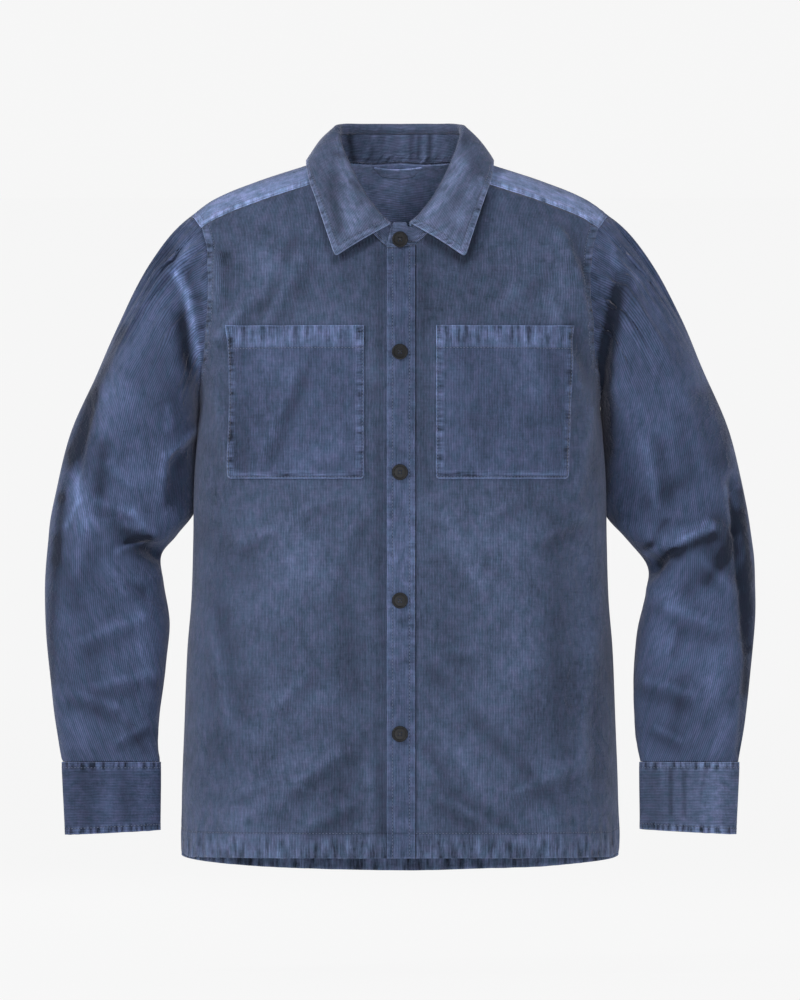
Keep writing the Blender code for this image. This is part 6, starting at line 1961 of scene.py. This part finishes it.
@dataclass
class Overshirt:
    """All the pieces, in the order in which they are shaped, dressed and sewn."""

    body: Corduroy = Corduroy("body_cloth", (0.054, 0.075, 0.130), side_stitch=(0.0095,), side_band=0.0105,
                              band_fade=0.16, tick=1.3)
    # The yoke's cloth is a lighter copy of the body's: painted light on the strip that faces up.
    yoke_cloth: Corduroy = Corduroy("yoke_cloth", (0.076, 0.103, 0.180), side_stitch=(0.0018, 0.0080),
                                    hem_stitch=(0.0018,), hem_band=0.009)
    sleeve_cloth: Corduroy = Corduroy("sleeve_cloth", (0.050, 0.071, 0.132), pitch=0.0022, side_stitch=(),
                                      hem_stitch=(), hem_band=0.012, rub_and_highlight=0.15, band_fade=0.0, streaks=0.5)
    trim: Corduroy = Corduroy("trim_cloth", (0.052, 0.073, 0.132), side_stitch=(0.0060,), hem_band=0.026,
                              rub_and_highlight=0.9, tick=0.4)
    pocket: Corduroy = Corduroy("pocket_cloth", (0.052, 0.073, 0.133), side_stitch=(0.0022,),
                                hem_stitch=(0.0245,), hem_band=0.0245, rub_and_highlight=1.6, band_fade=0.16, tick=1.2)
    cuff_left: Corduroy = Corduroy("cuff_cloth_left", (0.066, 0.090, 0.156), side_stitch=(0.0062,), rub_and_highlight=1.0,
                                   tick=1.7, streaks=0.6)
    cuff_right: Corduroy = Corduroy("cuff_cloth_right", (0.046, 0.064, 0.120), side_stitch=(0.0062,),
                                    rub_and_highlight=1.0, tick=1.7, streaks=0.6)
    collar_cloth: Corduroy = Corduroy("collar_cloth", (0.072, 0.095, 0.160), side_stitch=(0.0078,),
                                      side_band=0.0085, rub_and_highlight=1.5,
                                      sheen=0.26, band_fade=0.26, tick=1.0)
    stand_cloth: Corduroy = Corduroy("stand_cloth", (0.066, 0.089, 0.154), side_stitch=(0.0040,), rub_and_highlight=0.4)
    # The yoke's reverse and the hanger loop: the reverse is paler, and is brightened well past that as
    # painted light inside the shaded neck.
    reverse_painted_light: Corduroy = Corduroy("yoke_reverse_painted_light", (0.215, 0.285, 0.480), side_stitch=(), rub_and_highlight=0.1,
                                band_fade=0.0, tick=0.0)
    thread: Thread = Thread("blue_thread", (0.092, 0.115, 0.185))
    button_thread: Thread = Thread("button_thread", (0.012, 0.013, 0.018))
    button: HornButton = HornButton()

    def build(self) -> None:
        """Make every piece in order."""
        body, trim = self.body.build(), self.trim.build()
        right, left, back, yoke = self.trunk(body)
        reverse_painted_light = self.reverse_painted_light.build()
        yoke.reverse = reverse_painted_light
        self.finish_piece(yoke, self.yoke_cloth.build())
        pocket_cloth = self.pocket.build()
        placket = Patch("placket", -0.0138, 0.0159, 0.0159, HEM, PLACKET_PROUD, 0.0022, 14, 200)
        piece = placket.build()
        piece.stitched, piece.hemmed = (Edge.FIRST_COLUMN, Edge.LAST_COLUMN), (Edge.FIRST_ROW,)
        self.finish_piece(piece, trim)
        stitches = StitchRow("placket_stitches")
        for edge in piece.stitched:
            stitches.add(piece.beside(edge, self.trim.side_stitch[0]))
        thread = self.thread.build()
        self.sewn(stitches, thread)
        for hand, name in ((-1, "right_pocket"), (1, "left_pocket")):
            self.pocket_on(hand, name, pocket_cloth, thread)
        self.trunk_stitches(right, left, back, yoke, thread)
        sleeve_cloth = self.sleeve_cloth.build()
        buttons, dark = self.button.build(), self.button_thread.build()
        for hand, name, front in ((-1, "right", right), (1, "left", left)):
            self.arm(hand, name, (front, back, yoke), sleeve_cloth, (thread, dark), buttons)
        self.neck(thread, reverse_painted_light)
        self.front_buttons(buttons, dark)

    @staticmethod
    def finish_piece(piece: ClothPiece, material: Material) -> None:
        """Dress one cloth piece and log its points and area."""
        made = piece.build(material, [piece.name])
        across, along = np.diff(piece.points, axis=0)[:, :-1], np.diff(piece.points, axis=1)[:-1]
        area = float(np.linalg.norm(np.cross(across, along), axis=-1).sum())
        LOG.info("%s: %d points, %.4f square metres", piece.name, piece.points[..., 0].size, area)

    @staticmethod
    def sewn(stitches: StitchRow, thread: Material) -> None:
        """Build one joined set of stitches and log it."""
        made = stitches.build(thread)
        LOG.info("%s: %d faces", made.name, len(made.data.polygons))

    def trunk(self, body: Material) -> tuple[ClothPiece, ClothPiece, ClothPiece, ClothPiece]:
        """Shape the fronts, back and yoke, and dress the first three."""
        right = Front(-1, -0.0140).build("right_front")
        left = Front(1, 0.0162).build("left_front")
        back = Back().build()
        yoke = Yoke().build()
        for piece in (right, left, back):
            self.finish_piece(piece, body)
        return right, left, back, yoke

    def pocket_on(self, hand: int, name: str, cloth: Material, thread: Material) -> None:
        """Make one chest pocket with its hem and its stitches."""
        low, high = (-0.1800, -0.1806) if hand < 0 else (0.1775, 0.1825)
        patch = Patch(name, hand * 0.0380, low, high, POCKET_BOTTOM, 0.0021, 0.0018, 46, 50, high=POCKET_TOP,
                      puff=0.0010)
        piece = patch.build()
        piece.stitched = (Edge.FIRST_COLUMN, Edge.LAST_COLUMN, Edge.FIRST_ROW)
        piece.hemmed = (Edge.LAST_ROW,)
        for end in (Edge.FIRST_COLUMN, Edge.LAST_COLUMN):
            piece.points = round_corner(piece.points, end, Edge.FIRST_ROW, 0.0030)
        self.finish_piece(piece, cloth)
        stitches = StitchRow(name + "_stitches")
        for edge in piece.stitched:
            stitches.add(piece.beside(edge, 0.0018, 0.01, 0.99))
        stitches.add(piece.beside(Edge.LAST_ROW, self.pocket.hem_stitch[0], 0.01, 0.99))
        self.sewn(stitches, thread)

    def trunk_stitches(self, right: ClothPiece, left: ClothPiece, back: ClothPiece, yoke: ClothPiece,
                       thread: Material) -> None:
        """Hem, armhole and yoke stitching."""
        hem = StitchRow("hem_stitches")
        for piece in (right, left, back):
            hem.add(piece.beside(Edge.FIRST_ROW, self.body.hem_stitch[0], 0.09 if piece is right else 0.0))
        self.sewn(hem, thread)
        arms = StitchRow("armhole_stitches")
        for piece in (right, left):
            arms.add(piece.beside(Edge.LAST_COLUMN, self.body.side_stitch[0], 0.72))
        self.sewn(arms, thread)
        seams = StitchRow("yoke_stitches")
        for offset in self.yoke_cloth.side_stitch:
            seams.add(yoke.beside(Edge.FIRST_COLUMN, offset, 0.12))
            seams.add(yoke.beside(Edge.LAST_COLUMN, offset, 0.12))
            seams.add(yoke.beside(Edge.LAST_ROW, offset, 0.145, 0.855))
        self.sewn(seams, thread)

    def arm(self, hand: int, name: str, panels: tuple[ClothPiece, ClothPiece, ClothPiece], cloth: Material,
            threads: tuple[Material, Material], buttons: Material) -> None:
        """Make one sleeve with its cuff and cuff button."""
        if hand < 0:
            rows, cuff_rows = RIGHT_SECTIONS, RIGHT_CUFF
            strokes = RIGHT_SLEEVE_FRONT, RIGHT_SLEEVE_BACK, RIGHT_SLEEVE_SHADE_AND_FADE
        else:
            rows, cuff_rows = LEFT_SECTIONS, LEFT_CUFF
            strokes = LEFT_SLEEVE_FRONT, LEFT_SLEEVE_BACK, LEFT_SLEEVE_SHADE_AND_FADE
        sections = Table(tuple((float(k), *row) for k, row in enumerate(rows)))
        sleeve = Sleeve(hand, sections, *strokes).build(name + "_sleeve", *panels)
        self.finish_piece(sleeve, cloth)
        cuff = Cuff(hand, *cuff_rows).build(name + "_cuff")
        finish = self.cuff_right if hand < 0 else self.cuff_left
        self.finish_piece(cuff, finish.build())
        stitches = StitchRow(name + "_cuff_stitches")
        for edge, start, end in ((Edge.FIRST_ROW, 0.02, 0.87), (Edge.LAST_ROW, 0.02, 0.87),
                                 (Edge.FIRST_COLUMN, 0.08, 0.92)):
            stitches.add(cuff.beside(edge, finish.side_stitch[0], start, end))
        self.sewn(stitches, threads[0])
        columns, rows = cuff.points.shape[:2]
        spot = cuff.normals[int(columns * CUFF_BUTTON_TURN / CUFF_TURN), rows // 2]
        Button(name + "_cuff_button", Vector(spot).normalized()).build(buttons, threads[1])
        LOG.info("%s cuff button", name)

    def neck(self, thread: Material, reverse_painted_light: Material) -> None:
        """Make the collar, its stand and the hanger loop."""
        stand, leaf = Collar().build()
        self.finish_piece(stand, self.stand_cloth.build())
        self.finish_piece(leaf, self.collar_cloth.build())
        stitches = StitchRow("collar_stitches")
        offset = self.collar_cloth.side_stitch[0]
        stitches.add(leaf.beside(Edge.LAST_ROW, offset, 0.03, 0.97))
        for edge in (Edge.FIRST_COLUMN, Edge.LAST_COLUMN):
            stitches.add(leaf.beside(edge, offset, 0.25, 0.89))
        stitches.add(stand.beside(Edge.FIRST_ROW, self.stand_cloth.side_stitch[0], 0.03, 0.97))
        self.sewn(stitches, thread)
        # The hanger loop wears the reverse with its painted light.
        self.finish_piece(HangerLoop().build(), reverse_painted_light)

    def front_buttons(self, finish: Material, thread: Material) -> None:
        """Make the five front buttons."""
        for number, height in enumerate((-0.0816, -0.2014, -0.3278, -0.4632, -0.6042), start=1):
            z, step = np.array(height), 0.003
            if number == 1:
                out = Vector((0.0, -1.0, 0.15)).normalized()
            else:
                upper, lower = (BodyForm.point(np.array(0.0), z + away, -1.0) for away in (step, -step))
                run = upper - lower
                out = Vector((0.0, -run[2], run[1])).normalized()
                out = out if out.y < 0 else -out
            Button(f"front_button_{number}", out).build(finish, thread)
            LOG.info("front button %d", number)


def main() -> None:
    """Build the overshirt and its studio."""
    logging.basicConfig(level=logging.INFO, format="%(message)s")
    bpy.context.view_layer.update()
    Studio().build()
    Overshirt().build()


if __name__ == "__main__":
    main()
